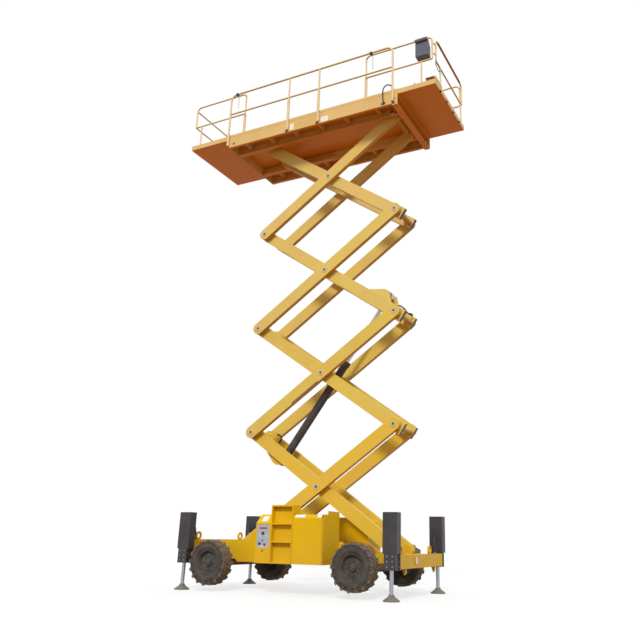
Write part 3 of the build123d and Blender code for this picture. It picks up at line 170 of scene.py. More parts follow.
def sprayed_enamel(name, fresh, faded, under, dust_top, patch=0.55, gloss=0.34):
    """Sprayed enamel on steel: orange peel in the paint, faded patches, a painted
    brown shade on faces that look down, and dust that fades out at dust_top metres up."""
    made = bare_material(name)
    place = add_node(made, "TexCoord")
    patches = add_node(made, "TexNoise", {"Scale": 1 / patch, "Detail": 5.0, "Roughness": 0.62},
                       {"Vector": place.outputs["Object"]})
    weather = add_node(made, "MapRange", {"From Min": 0.38, "From Max": 0.68},
                       {"Value": patches.outputs["Fac"]})
    coat = add_node(made, "Mix", {"data_type": "RGBA", 6: linear(fresh), 7: linear(faded)},
                    {0: weather.outputs[0]})
    # painted shade: faces that look down are mixed towards the under colour, a darker brown
    facing = add_node(made, "SeparateXYZ", links={0: place.outputs["Normal"]})
    painted_shade_mask = add_node(made, "MapRange", {"From Min": -0.35, "From Max": -0.95, "To Max": 0.9},
                        {"Value": facing.outputs["Z"]})
    shaded_coat = add_node(made, "Mix", {"data_type": "RGBA", 7: linear(under)},
                    {0: painted_shade_mask.outputs[0], 6: coat.outputs[2]})
    height = add_node(made, "SeparateXYZ", links={0: place.outputs["Object"]})
    low_down = add_node(made, "MapRange", {"From Min": dust_top, "From Max": 0.0, "To Max": 0.5},
                        {"Value": height.outputs["Z"]})
    # dust clings in blots a hand across
    blots = add_node(made, "TexNoise", {"Scale": 1 / 0.09, "Detail": 8.0, "Roughness": 0.7},
                     {"Vector": place.outputs["Object"]})
    cling = add_node(made, "Math", {"operation": "MULTIPLY"},
                     {0: low_down.outputs[0], 1: blots.outputs["Fac"]})
    dusty = add_node(made, "Mix", {"data_type": "RGBA", 7: linear(ROAD_DUST)},
                     {0: cling.outputs[0], 6: shaded_coat.outputs[2]})
    # scratches through the gloss, drawn coarse so that they show
    scratch_place = add_node(made, "Mapping", {"Scale": (9.0, 9.0, 60.0)},
                             {"Vector": place.outputs["Object"]})
    scratches = add_node(made, "TexNoise", {"Scale": 1.0, "Detail": 10.0, "Roughness": 0.8},
                         {"Vector": scratch_place.outputs[0]})
    dulled = add_node(made, "MapRange", {"From Min": 0.35, "From Max": 0.75, "To Min": gloss,
                                         "To Max": gloss + 0.26}, {"Value": scratches.outputs["Fac"]})
    # orange peel is 2 mm across on the steel, drawn at 12 mm
    peel = add_node(made, "TexNoise", {"Scale": 1 / 0.012, "Detail": 2.0},
                    {"Vector": place.outputs["Object"]})
    bump = add_node(made, "Bump", {"Strength": 0.08, "Distance": 0.001}, {"Height": peel.outputs["Fac"]})
    paint = add_node(made, "BsdfPrincipled", {"Coat Weight": 0.06, "Coat Roughness": 0.2,
                                               "Specular IOR Level": 0.14},
                     {"Base Color": dusty.outputs[2], "Roughness": dulled.outputs[0],
                      "Normal": bump.outputs[0]})
    add_node(made, "OutputMaterial", links={"Surface": paint.outputs[0]})
    return made


def dress(finish, *names):
    """Gives solids of the frame their finish."""
    for name in names:
        for slot in frame["nodes"][name].material_slots:
            slot.material = finish


chassis_enamel = sprayed_enamel("chassis_sprayed_enamel", CHASSIS_YELLOW, CHASSIS_FADED,
                                CHASSIS_PAINTED_SHADE, 1.0)
dress(chassis_enamel, "chassis_frame", "front_crossbeam", "rear_crossbeam", "pod_left", "pod_right",
      "lower_console", "step_unit", "hood_left", "hood_right", "hydraulic_tank")


# ---------------------------------------------------------------- beam fittings
# Zinc-plated bolts that hold the outrigger guides to the crossbeams, rubber
# hoses that bring oil to each jack, and a blank oval plate of white vinyl on
# the front beam.
ZINC = "#858688"
BEAM_BOLT = 0.0075
BOLT_ROWS = (0.488, 0.565, 0.642)
HOSE_RADIUS = 0.011
HOSE_BLACK = "#232224"


def finish_piece(bm, name, finish, body):
    """Turns a bmesh into a piece of the object that rides on a body."""
    bmesh.ops.recalc_face_normals(bm, faces=bm.faces)
    mesh = bpy.data.meshes.new(name)
    bm.to_mesh(mesh)
    bm.free()
    mesh.materials.append(finish)
    piece = bpy.data.objects.new(name, mesh)
    bpy.context.scene.collection.objects.link(piece)
    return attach(piece, body)


def disc(bm, foot, axis, radius, height, sides=16, top=None):
    """A short round or many-sided boss that stands at foot along axis."""
    axis = Vector(axis).normalized()
    turn = axis.to_track_quat("Z", "Y").to_matrix().to_4x4()
    bmesh.ops.create_cone(bm, cap_ends=True, segments=sides, radius1=radius,
                          radius2=radius if top is None else top, depth=height,
                          matrix=Matrix.Translation(Vector(foot) + axis * height / 2) @ turn)


def block(bm, low, high, bevel=0.0, place=None):
    """A box between two corners, its edges rounded by bevel."""
    low, high = Vector(low), Vector(high)
    size = Matrix.Diagonal((*(high - low), 1.0))
    made = bmesh.ops.create_cube(bm, size=1.0, matrix=(place or Matrix.Identity(4))
                                 @ Matrix.Translation((low + high) / 2) @ size)
    if bevel:
        edges = dict.fromkeys(edge for vert in made["verts"] for edge in vert.link_edges)
        bmesh.ops.bevel(bm, geom=list(edges), offset=bevel, offset_type="OFFSET", affect="EDGES",
                        segments=2, profile=0.5, material=-1)


def bolt(bm, foot, axis, radius):
    """Washer, six-sided head and a low domed crown."""
    axis = Vector(axis)
    disc(bm, foot, axis, radius * 1.55, radius * 0.25, 14)
    disc(bm, Vector(foot) + axis * radius * 0.25, axis, radius, radius * 0.7, 6)
    disc(bm, Vector(foot) + axis * radius * 0.95, axis, radius * 0.8, radius * 0.12, 12, radius * 0.5)


def hose(name, points, radius, finish, body):
    """A hose along a smooth line that its points draw out."""
    line = bpy.data.curves.new(name, "CURVE")
    line.dimensions = "3D"
    line.bevel_depth = radius
    line.bevel_resolution = 3
    line.resolution_u = 8
    line.use_fill_caps = True
    run = line.splines.new("NURBS")
    run.points.add(len(points) - 1)
    for knot, point in zip(run.points, points):
        knot.co = (*point, 1.0)
    run.order_u = 3
    run.use_endpoint_u = True
    line.materials.append(finish)
    piece = bpy.data.objects.new(name, line)
    bpy.context.scene.collection.objects.link(piece)
    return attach(piece, body)


def plated_steel(name, tone, low_gloss, high_gloss):
    """Plated steel, its shine broken by fingermarks and grime."""
    made = bare_material(name)
    place = add_node(made, "TexCoord")
    marks = add_node(made, "TexNoise", {"Scale": 1 / 0.01, "Detail": 6.0},
                     {"Vector": place.outputs["Object"]})
    gloss = add_node(made, "MapRange", {"To Min": low_gloss, "To Max": high_gloss},
                     {"Value": marks.outputs["Fac"]})
    grime = add_node(made, "Mix", {"data_type": "RGBA", 6: linear(tone), 7: linear("#8B8378")},
                     {0: marks.outputs["Fac"]})
    steel = add_node(made, "BsdfPrincipled", {"Metallic": 1.0},
                     {"Base Color": grime.outputs[2], "Roughness": gloss.outputs[0]})
    add_node(made, "OutputMaterial", links={"Surface": steel.outputs[0]})
    return made


def moulded_rubber(name, tone, dust, grain=0.004):
    """Rubber, vinyl or foam with a fine grain, clouded by dust."""
    made = bare_material(name)
    place = add_node(made, "TexCoord")
    dusting = add_node(made, "TexNoise", {"Scale": 1 / 0.05, "Detail": 7.0, "Roughness": 0.65},
                       {"Vector": place.outputs["Object"]})
    share = add_node(made, "MapRange", {"From Min": 0.42, "From Max": 0.75},
                     {"Value": dusting.outputs["Fac"]})
    skin = add_node(made, "Mix", {"data_type": "RGBA", 6: linear(tone), 7: linear(dust)},
                    {0: share.outputs[0]})
    pores = add_node(made, "TexNoise", {"Scale": 1 / grain, "Detail": 2.0},
                     {"Vector": place.outputs["Object"]})
    bump = add_node(made, "Bump", {"Strength": 0.2, "Distance": 0.0006}, {"Height": pores.outputs["Fac"]})
    rubber = add_node(made, "BsdfPrincipled", {"Roughness": 0.62, "IOR": 1.52},
                      {"Base Color": skin.outputs[2], "Normal": bump.outputs[0]})
    add_node(made, "OutputMaterial", links={"Surface": rubber.outputs[0]})
    return made


zinc = plated_steel("bolt_zinc_plating", ZINC, 0.25, 0.5)
hose_rubber = moulded_rubber("hose_extruded_rubber", HOSE_BLACK, "#47423E")
label_vinyl = moulded_rubber("label_white_vinyl", "#F4F3EF", "#DAD6CC", 0.02)

jacks_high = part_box("outrigger_jacks")[1]
covers_low, covers_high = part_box("outrigger_covers")
front_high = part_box("front_crossbeam")[1]
BEAM_HALF = front_high.y
COVER_HALF_LENGTH = 0.12
PAD_SCREW_OUT = 0.045
PAD_SCREW = BEAM_BOLT * 1.2
FLANGE_EDGE = 0.104           # between the guide and the flange plate's edge
FLANGE_FACE = BEAM_HALF + 0.018
GUIDE_FACE = jacks_high.y - 0.005
JACK_X = {"front": covers_high.x - COVER_HALF_LENGTH, "rear": covers_low.x + COVER_HALF_LENGTH}
bm = bmesh.new()
for end, x in JACK_X.items():
    for side in (-1, 1):
        for z in BOLT_ROWS:
            for edge in (-FLANGE_EDGE, FLANGE_EDGE):
                bolt(bm, (x + edge, side * FLANGE_FACE, z), (0, side, 0), BEAM_BOLT)
        # pad screws in two columns down the outer face of the guide
        for z in BOLT_ROWS:
            for edge in (-PAD_SCREW_OUT, PAD_SCREW_OUT):
                bolt(bm, (x + edge, side * GUIDE_FACE, z), (0, side, 0), PAD_SCREW)
finish_piece(bm, "guide_bolts", zinc, "chassis")

BEAM_TOPS = {"front": 0.660, "rear": 0.835}
PORT_Y = 0.80                # where each hose leaves the beam
ENTRY_RISE = 0.12            # from the beam's top to where it enters the cover
for end, x in JACK_X.items():
    for side in (-1, 1):
        top = BEAM_TOPS[end]
        face = side * (BEAM_HALF + 0.006)
        name = f"jack_hose_{end}_{'left' if side > 0 else 'right'}"
        hose(name, [(x + 0.03, side * PORT_Y, top - 0.01), (x + 0.03, side * PORT_Y, top + 0.09),
                    (x + 0.02, side * 0.82, top + 0.22), (x, side * 0.87, top + 0.30),
                    (x, side * 0.905, top + 0.20), (x - 0.01, face - side * 0.012, top + 0.14),
                    (x - 0.01, face + side * 0.012, top + ENTRY_RISE)],
             HOSE_RADIUS, hose_rubber, "chassis")
bm = bmesh.new()
for end, x in JACK_X.items():
    for side in (-1, 1):
        disc(bm, (x + 0.03, side * PORT_Y, BEAM_TOPS[end] - 0.001), (0, 0, 1), 0.022, 0.03, 6)
        entry = (x - 0.01, side * (BEAM_HALF + 0.006), BEAM_TOPS[end] + ENTRY_RISE + 0.005)
        disc(bm, entry, (0, -side, 0), 0.02, 0.02, 6)
finish_piece(bm, "jack_hose_fittings", zinc, "chassis")

PLATE_Y, PLATE_Z, PLATE_RADIUS, PLATE_THICK = -0.26, 0.565, 0.06, 0.0015
bm = bmesh.new()
bmesh.ops.create_circle(bm, cap_ends=True, segments=32, radius=PLATE_RADIUS,
                        matrix=Matrix.Translation((front_high.x, PLATE_Y, PLATE_Z))
                        @ Matrix.Diagonal((1, 0.78, 1, 1)) @ Matrix.Rotation(pi / 2, 4, "Y"))
oval = bmesh.ops.extrude_face_region(bm, geom=bm.faces[:])
bmesh.ops.translate(bm, vec=(PLATE_THICK, 0, 0),
                    verts=[part for part in oval["geom"] if isinstance(part, bmesh.types.BMVert)])
finish_piece(bm, "front_oval_plate", label_vinyl, "chassis")


# ---------------------------------------------------------------- hoods and pods
# Each hood is one bent sheet on a hinge rod; two blank vinyl labels lie on the
# right one's rounding.
HOOD_ROUND = 0.080
HOOD_LABELS = ((0.415, 0.60), (0.83, 0.905))
LABEL_FROM, LABEL_TO = radians(18), radians(62)
LABEL_LIFT = 0.0012          # off the sheet, so that the two faces don't fight
LABEL_THICK = 0.0008

hood_low, hood_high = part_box("hood_right")
for index, (x0, x1) in enumerate(HOOD_LABELS):
    centre = Vector((0, hood_low.y + HOOD_ROUND, hood_high.z - HOOD_ROUND))
    reach = HOOD_ROUND + LABEL_LIFT
    bm = bmesh.new()
    start = centre + Vector((0, -reach * cos(LABEL_FROM), reach * sin(LABEL_FROM)))
    ends = [bm.verts.new((x, start.y, start.z)) for x in (x0, x1)]
    edge = bm.edges.new(ends)
    bmesh.ops.spin(bm, geom=[edge, *ends], cent=centre, axis=(-1, 0, 0), angle=LABEL_TO - LABEL_FROM,
                   steps=8, use_merge=False)
    bmesh.ops.solidify(bm, geom=bm.faces[:], thickness=LABEL_THICK)
    finish_piece(bm, f"hood_label_{index + 1}", label_vinyl, "hood_right")


# ---------------------------------------------------------------- lower console
# Ground control panel: a grey-blue plate held by four screws, with a red bar,
# a red stop button, a black key, knob and window, a pale strip and two toggles
# on pale plates. Under it sits the lock of the console.
PANEL_RED = "#B8321E"
PANEL_FACE_Y = -1.106
STOP_X, STOP_Z = -0.152, 0.775
KEY_X, KEY_Z = -0.258, 0.785
TOGGLE_X = (-0.262, -0.128)
TOGGLE_Z = 0.892
LOCK_X, LOCK_Y, LOCK_Z = -0.195, -1.1095, 0.675
BAR_LOW, BAR_HIGH = (-0.268, 1.018), (-0.122, 1.046)          # along and up
WINDOW_LOW, WINDOW_HIGH = (-0.225, 0.925), (-0.175, 0.975)
STRIP_LOW, STRIP_HIGH = (-0.288, 0.735), (-0.10, 0.75)
GUARD_HALF, GUARD_FOOT, GUARD_HEAD = 0.024, 0.87, 0.915
KNOB_X, KNOB_Z = -0.20, 0.835
SUNK = 0.001                 # each block's back, behind the panel's face
CORNER_INSET = 0.014
LID_ANGLE = radians(43.6)
LID_PLACE = (-0.205, -1.035, 1.1835)
LID_LABEL = (0.055, 0.06)    # half its width and half its height


def tinted_plastic(name, tone, shade, gloss):
    """Glossy moulded plastic with a slight cloud in its colour."""
    made = bare_material(name)
    place = add_node(made, "TexCoord")
    cloud = add_node(made, "TexNoise", {"Scale": 1 / 0.02, "Detail": 4.0},
                     {"Vector": place.outputs["Object"]})
    colour = add_node(made, "Mix", {"data_type": "RGBA", 6: linear(tone), 7: linear(shade)},
                      {0: cloud.outputs["Fac"]})
    shine = add_node(made, "MapRange", {"To Min": gloss, "To Max": gloss + 0.2},
                     {"Value": cloud.outputs["Fac"]})
    plastic = add_node(made, "BsdfPrincipled", {"IOR": 1.5, "Coat Weight": 0.2},
                       {"Base Color": colour.outputs[2], "Roughness": shine.outputs[0]})
    add_node(made, "OutputMaterial", links={"Surface": plastic.outputs[0]})
    return made


red_plastic = tinted_plastic("button_red_plastic", PANEL_RED, "#99301F", 0.25)
black_plastic = tinted_plastic("knob_black_plastic", "#1D1D1F", "#2B2A2C", 0.3)
pale_plastic = tinted_plastic("guard_pale_plastic", "#D9DCDD", "#C7CBCF", 0.35)
panel_low, panel_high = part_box("control_panel")
outward = (0, -1, 0)

bm = bmesh.new()
block(bm, (BAR_LOW[0], PANEL_FACE_Y - 0.004, BAR_LOW[1]),
      (BAR_HIGH[0], PANEL_FACE_Y + SUNK, BAR_HIGH[1]), 0.002)
finish_piece(bm, "panel_display_bar", red_plastic, "chassis")
bm = bmesh.new()
disc(bm, (STOP_X, PANEL_FACE_Y, STOP_Z), outward, 0.013, 0.016, 18)
disc(bm, (STOP_X, PANEL_FACE_Y - 0.016, STOP_Z), outward, 0.021, 0.008, 24, 0.017)
finish_piece(bm, "panel_stop_button", red_plastic, "chassis")
bm = bmesh.new()
disc(bm, (KEY_X, PANEL_FACE_Y, KEY_Z), outward, 0.024, 0.005, 24)
disc(bm, (KEY_X, PANEL_FACE_Y - 0.005, KEY_Z), outward, 0.018, 0.017, 24, 0.014)
disc(bm, (KNOB_X, PANEL_FACE_Y, KNOB_Z), outward, 0.012, 0.012, 18, 0.009)
block(bm, (WINDOW_LOW[0], PANEL_FACE_Y - 0.006, WINDOW_LOW[1]),
      (WINDOW_HIGH[0], PANEL_FACE_Y + SUNK, WINDOW_HIGH[1]), 0.003)
disc(bm, (LOCK_X, LOCK_Y, LOCK_Z), outward, 0.014, 0.006, 20)
finish_piece(bm, "panel_knobs", black_plastic, "chassis")
bm = bmesh.new()
for x in TOGGLE_X:
    block(bm, (x - GUARD_HALF, PANEL_FACE_Y - 0.005, GUARD_FOOT),
          (x + GUARD_HALF, PANEL_FACE_Y + SUNK, GUARD_HEAD), 0.002)
block(bm, (STRIP_LOW[0], PANEL_FACE_Y - 0.0025, STRIP_LOW[1]),
      (STRIP_HIGH[0], PANEL_FACE_Y + SUNK, STRIP_HIGH[1]), 0.0)
finish_piece(bm, "panel_guards", pale_plastic, "chassis")
bm = bmesh.new()
for x in (panel_low.x + CORNER_INSET, panel_high.x - CORNER_INSET):
    for z in (panel_low.z + CORNER_INSET, panel_high.z - CORNER_INSET):
        disc(bm, (x, PANEL_FACE_Y, z), outward, 0.006, 0.003, 12, 0.004)
for x in TOGGLE_X:
    disc(bm, (x, PANEL_FACE_Y - 0.005, TOGGLE_Z), outward, 0.009, 0.006, 6)
    disc(bm, (x, PANEL_FACE_Y - 0.011, TOGGLE_Z), (0, -1, 0.5), 0.0035, 0.02, 10)
finish_piece(bm, "panel_screws", zinc, "chassis")

# blank vinyl label on the slope of the console's lid
bm = bmesh.new()
slope = Matrix.Translation(LID_PLACE) @ Matrix.Rotation(LID_ANGLE, 4, "X")
block(bm, (-LID_LABEL[0], -LID_LABEL[1], 0.0), (*LID_LABEL, 0.0012), 0.0, slope)
finish_piece(bm, "console_label", label_vinyl, "chassis")


# ---------------------------------------------------------------- climbing steps
# The treads have rows of pressed grip studs under the same enamel as the
# steps themselves.
TREADS = (0.495, 0.829, 1.115)
STUD_ROWS = 2
STUD_COLUMNS = 7
STUD_SPACING = (0.055, 0.034)
STUD_START = (0.045, 0.022)
step_low, step_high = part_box("step_unit")
bm = bmesh.new()
for z in (*TREADS, step_high.z):
    for row in range(STUD_ROWS):
        for column in range(STUD_COLUMNS):
            x = step_low.x + STUD_START[0] + column * STUD_SPACING[0]
            y = step_low.y + STUD_START[1] + row * STUD_SPACING[1]
            disc(bm, (x, y, z - 0.0005), (0, 0, 1), 0.010, 0.0045, 10, 0.006)
finish_piece(bm, "step_studs", chassis_enamel, "chassis")


# ---------------------------------------------------------------- axles and steering
# Cast and forged iron with a thin coat of grey-brown paint, matt with dried
# mud; the engine behind the left hood is a painted casting too.
CASTING = "#5E5346"
DRIED_MUD = "#86735A"


def painted_casting(name, tone, mud, grain=0.006):
    """Sand-cast iron under thin paint: a pebbled skin and cakes of dried mud."""
    made = bare_material(name)
    place = add_node(made, "TexCoord")
    skin = add_node(made, "TexNoise", {"Scale": 1 / grain, "Detail": 4.0},
                    {"Vector": place.outputs["Object"]})
    cakes = add_node(made, "TexNoise", {"Scale": 1 / 0.12, "Detail": 7.0, "Roughness": 0.65},
                     {"Vector": place.outputs["Object"]})
    caked = add_node(made, "MapRange", {"From Min": 0.42, "From Max": 0.66},
                     {"Value": cakes.outputs["Fac"]})
    tone_mix = add_node(made, "Mix", {"data_type": "RGBA", 6: linear(tone), 7: linear(mud)},
                        {0: caked.outputs[0]})
    bump = add_node(made, "Bump", {"Strength": 0.35, "Distance": 0.002}, {"Height": skin.outputs["Fac"]})
    iron = add_node(made, "BsdfPrincipled", {"Roughness": 0.82, "IOR": 1.5},
                    {"Base Color": tone_mix.outputs[2], "Normal": bump.outputs[0]})
    add_node(made, "OutputMaterial", links={"Surface": iron.outputs[0]})
    return made


axle_iron = painted_casting("axle_painted_casting", CASTING, DRIED_MUD)
dress(axle_iron, "front_axle", "rear_axle", "knuckle_left", "knuckle_right", "tie_rod")
dress(painted_casting("engine_painted_casting", "#4A4D50", "#5E5A52"), "engine_block")


# ---------------------------------------------------------------- outriggers
# Folded sheet covers and cast guides, powder coated black and greyed by
# dust; plated steel legs run out of them down to broad cone-shaped feet.
COVER_BLACK = "#29282F"
COVER_GREYED = "#3A3639"
LEG_BRIGHT = "#A3A6AC"
FOOT_GREY = "#55585A"
FOOT_TOP = 0.0955

cover_coat = bare_material("cover_powder_coat")
place = add_node(cover_coat, "TexCoord")
bloom = add_node(cover_coat, "TexNoise", {"Scale": 1 / 0.25, "Detail": 6.0, "Roughness": 0.6},
                 {"Vector": place.outputs["Object"]})
bloom_share = add_node(cover_coat, "MapRange", {"From Min": 0.4, "From Max": 0.72},
                       {"Value": bloom.outputs["Fac"]})
greyed = add_node(cover_coat, "Mix", {"data_type": "RGBA", 6: linear(COVER_BLACK),
                                      7: linear(COVER_GREYED)}, {0: bloom_share.outputs[0]})
# the coat's fine grain is 0.5 mm, drawn at 5 mm
grain = add_node(cover_coat, "TexNoise", {"Scale": 1 / 0.005, "Detail": 1.0},
                 {"Vector": place.outputs["Object"]})
grain_bump = add_node(cover_coat, "Bump", {"Strength": 0.15, "Distance": 0.0006},
                      {"Height": grain.outputs["Fac"]})
coat = add_node(cover_coat, "BsdfPrincipled", {"Roughness": 0.5, "IOR": 1.5},
                {"Base Color": greyed.outputs[2], "Normal": grain_bump.outputs[0]})
add_node(cover_coat, "OutputMaterial", links={"Surface": coat.outputs[0]})
dress(cover_coat, "outrigger_covers", "outrigger_jacks")

leg_plate = bare_material("leg_zinc_plated_steel")
place = add_node(leg_plate, "TexCoord")
# rings left by the leg's seal as it slides
ring_place = add_node(leg_plate, "Mapping", {"Scale": (2.0, 2.0, 110.0)},
                      {"Vector": place.outputs["Object"]})
rings = add_node(leg_plate, "TexNoise", {"Scale": 1.0, "Detail": 6.0}, {"Vector": ring_place.outputs[0]})
ring_gloss = add_node(leg_plate, "MapRange", {"To Min": 0.18, "To Max": 0.42},
                      {"Value": rings.outputs["Fac"]})
height = add_node(leg_plate, "SeparateXYZ", links={0: place.outputs["Object"]})
# the plating stops at the foot, which is painted
on_foot = add_node(leg_plate, "Math", {"operation": "LESS_THAN", 1: FOOT_TOP},
                   {0: height.outputs["Z"]})
scuffs = add_node(leg_plate, "TexNoise", {"Scale": 1 / 0.03, "Detail": 9.0, "Roughness": 0.7},
                  {"Vector": place.outputs["Object"]})
foot_tone = add_node(leg_plate, "Mix", {"data_type": "RGBA", 6: linear(FOOT_GREY),
                                        7: linear("#8B8377")}, {0: scuffs.outputs["Fac"]})
leg_steel = add_node(leg_plate, "BsdfPrincipled", {"Base Color": linear(LEG_BRIGHT), "Metallic": 1.0},
                     {"Roughness": ring_gloss.outputs[0]})
foot_paint = add_node(leg_plate, "BsdfPrincipled", {"Roughness": 0.62},
                      {"Base Color": foot_tone.outputs[2]})
leg_mix = add_node(leg_plate, "MixShader", links={0: on_foot.outputs[0], 1: leg_steel.outputs[0],
                                                  2: foot_paint.outputs[0]})
add_node(leg_plate, "OutputMaterial", links={"Surface": leg_mix.outputs[0]})
LEGS = ("rear_right", "front_right", "rear_left", "front_left")
dress(leg_plate, *[f"leg_{name}" for name in LEGS])


# ---------------------------------------------------------------- tyres and rims
# Moulded rubber with bar lugs, dried mud on the tread and in the grooves, and
# pressed steel rims painted black.
RUBBER = "#3A3735"
RUBBER_DUSTY = "#6E6154"
TREAD_MUD = "#8E7B64"
RIM_BLACK = "#3B3A3B"
RIM_DUST = "#5D564E"
TREAD_START = 0.335


def worn_rubber(name, centre):
    """Rubber about one wheel's axle: black sidewall, mud towards the tread."""
    made = bare_material(name)
    place = add_node(made, "TexCoord")
    about = add_node(made, "Mapping", {"Location": tuple(-c for c in centre)},
                     {"Vector": place.outputs["Object"]})
    flat = add_node(made, "VectorMath", {"operation": "MULTIPLY", 1: (1, 0, 1)},
                    {0: about.outputs[0]})
    reach = add_node(made, "VectorMath", {"operation": "LENGTH"}, {0: flat.outputs[0]})
    tread = add_node(made, "MapRange", {"From Min": TREAD_START, "From Max": TREAD_START + 0.03},
                     {"Value": reach.outputs["Value"]})
    clods = add_node(made, "TexNoise", {"Scale": 1 / 0.03, "Detail": 8.0, "Roughness": 0.7},
                     {"Vector": place.outputs["Object"]})
    clod_share = add_node(made, "MapRange", {"From Min": 0.36, "From Max": 0.62},
                          {"Value": clods.outputs["Fac"]})
    mud = add_node(made, "Math", {"operation": "MULTIPLY"}, {0: tread.outputs[0], 1: clod_share.outputs[0]})
    clouds = add_node(made, "TexNoise", {"Scale": 1 / 0.16, "Detail": 5.0},
                      {"Vector": place.outputs["Object"]})
    side_dust = add_node(made, "MapRange", {"From Min": 0.4, "From Max": 0.8, "To Max": 0.6},
                         {"Value": clouds.outputs["Fac"]})
    wall = add_node(made, "Mix", {"data_type": "RGBA", 6: linear(RUBBER), 7: linear(RUBBER_DUSTY)},
                    {0: side_dust.outputs[0]})
    skin = add_node(made, "Mix", {"data_type": "RGBA", 7: linear(TREAD_MUD)},
                    {0: mud.outputs[0], 6: wall.outputs[2]})
    bump = add_node(made, "Bump", {"Strength": 0.4, "Distance": 0.003}, {"Height": clods.outputs["Fac"]})
    rubber = add_node(made, "BsdfPrincipled", {"Roughness": 0.86, "IOR": 1.52},
                      {"Base Color": skin.outputs[2], "Normal": bump.outputs[0]})
    add_node(made, "OutputMaterial", links={"Surface": rubber.outputs[0]})
    return made


rim_paint = painted_casting("rim_dusty_paint", RIM_BLACK, RIM_DUST, 0.004)
WHEELS = {}
tread_rubbers = {}
for end in ("front", "rear"):
    for side in ("right", "left"):
        name = f"{end}_{side}"
        low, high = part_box(f"rim_{name}")
        WHEELS[name] = (low + high) / 2
        tread_rubbers[name] = worn_rubber(f"tyre_rubber_{name}", WHEELS[name])
        dress(tread_rubbers[name], f"tyre_{name}")
        dress(rim_paint, f"rim_{name}")


# Packed mud and worn rubber fill the gaps between the lugs to a finger's
# width below their tips. Rows are across the wheel and out from its axle.
TREAD_BAND = ((-0.126, 0.318), (-0.124, 0.338), (-0.112, 0.354), (-0.085, 0.361), (-0.03, 0.364),
              (0.03, 0.364), (0.085, 0.361), (0.112, 0.354), (0.124, 0.338), (0.126, 0.318))
for name, centre in WHEELS.items():
    bm = bmesh.new()
    verts = [bm.verts.new(centre + Vector((0, y, r))) for y, r in TREAD_BAND]
    edges = [bm.edges.new((verts[i], verts[(i + 1) % len(verts)])) for i in range(len(verts))]
    bmesh.ops.spin(bm, geom=verts + edges, cent=centre, axis=(0, 1, 0), angle=2 * pi, steps=96,
                   use_merge=True)
    for face in bm.faces:
        face.smooth = True
    finish_piece(bm, f"tread_band_{name}", tread_rubbers[name], f"wheel_{name}")


# Eight wheel nuts on each disc, a painted hub cap over the spindle, and a
# valve stem that leans out from the disc beyond the nuts.
nut_steel = painted_casting("nut_dusty_steel", "#4B4744", "#6B6259", 0.003)
NUT_COUNT = 8
NUT_CIRCLE = 0.104
DISC_FACE = 0.043            # disc's outer face from the middle of the wheel
HUB_FACE = 0.083
for name, centre in WHEELS.items():
    side = -1 if centre.y < 0 else 1
    body = f"wheel_{name}"
    out = (0, side, 0)
    bm = bmesh.new()
    for index in range(NUT_COUNT):
        turn = 2 * pi * index / NUT_COUNT
        foot = centre + Vector((NUT_CIRCLE * cos(turn), side * (DISC_FACE - 0.002),
                                NUT_CIRCLE * sin(turn)))
        disc(bm, foot, out, 0.017, 0.006, 14, 0.014)
        disc(bm, foot + Vector(out) * 0.006, out, 0.013, 0.015, 6)
        disc(bm, foot + Vector(out) * 0.021, out, 0.007, 0.007, 10)
    finish_piece(bm, f"wheel_nuts_{name}", nut_steel, body)
    bm = bmesh.new()
    hub = centre + Vector((0, side * HUB_FACE, 0))
    disc(bm, hub - Vector(out) * 0.002, out, 0.052, 0.010, 28, 0.048)
    disc(bm, hub + Vector(out) * 0.008, out, 0.036, 0.010, 28, 0.022)
    disc(bm, centre + Vector((0.10, side * DISC_FACE, 0.118)), (0.3, side, 0.35), 0.005, 0.035, 10)
    finish_piece(bm, f"hub_cap_{name}", rim_paint, body)


# ---------------------------------------------------------------- scissor arms
# Rectangular steel tube welded with bosses and cross tubes, sprayed in the
# same enamel, paler stage by stage higher up, with an orange-brown painted
# shade on faces that look down.
ARM_PAINTED_SHADE = "#BE7C20"
ARM_TONES = {1: ("#DFBA3E", "#D9B44A"), 2: ("#DCC058", "#D4B55C"), 3: ("#DDC266", "#D6B869"),
             4: ("#DFC16E", "#D8B872")}

for stage, (fresh, faded) in ARM_TONES.items():
    arm_enamel = sprayed_enamel(f"arm_sprayed_enamel_{stage}", fresh, faded, ARM_PAINTED_SHADE, 0.0, 0.8)
    dress(arm_enamel, f"inner_arms_{stage}", f"outer_arms_{stage}")


# Every pin ends in a keeper plate with a bright washer and a dark bolt sunk
# in its middle.
KEEPER_FACE = 0.414
RING_RADIUS = 0.046
BOLT_DARK = "#2A2627"

joint_place = {joint["name"]: Vector(joint["pos_m"])
               for joint in frame["record"]["behaviour"]["joints"] if "pos_m" in joint}
front_pins = [joint_place["lift"]] + [joint_place[f"knee_{n}"] for n in (1, 2, 3)]
front_pins.append(joint_place["platform_level"])
crossings = [joint_place[f"cross_{n}"] for n in (1, 2, 3, 4)]
rear_pins = [2 * crossing - foot for crossing, foot in zip(crossings, front_pins)]
climb = rear_pins[0] - front_pins[0]
ARM_SLOPE = atan2(climb.z, -climb.x)

dark_steel = plated_steel("bolt_black_oxide", BOLT_DARK, 0.35, 0.6)
bright_zinc = plated_steel("washer_bright_zinc", "#E2E0DA", 0.3, 0.5)
for stage in range(1, 5):
    ends = [crossings[stage - 1]]
    if stage > 1:
        ends.append(rear_pins[stage - 2])
    if stage < 4:
        ends.append(front_pins[stage])
    rings, heads = bmesh.new(), bmesh.new()
    for pin in ends:
        for side in (-1, 1):
            foot = Vector((pin.x, side * KEEPER_FACE, pin.z))
            out = Vector((0, side, 0))
            disc(rings, foot, out, RING_RADIUS, 0.005, 28, RING_RADIUS - 0.004)
            disc(heads, foot + out * 0.003, out, 0.024, 0.004, 20)
            disc(heads, foot + out * 0.007, out, 0.016, 0.010, 6, 0.014)
    finish_piece(rings, f"pin_washers_{stage}", bright_zinc, f"outer_arms_{stage}")
    finish_piece(heads, f"pin_bolts_{stage}", dark_steel, f"outer_arms_{stage}")

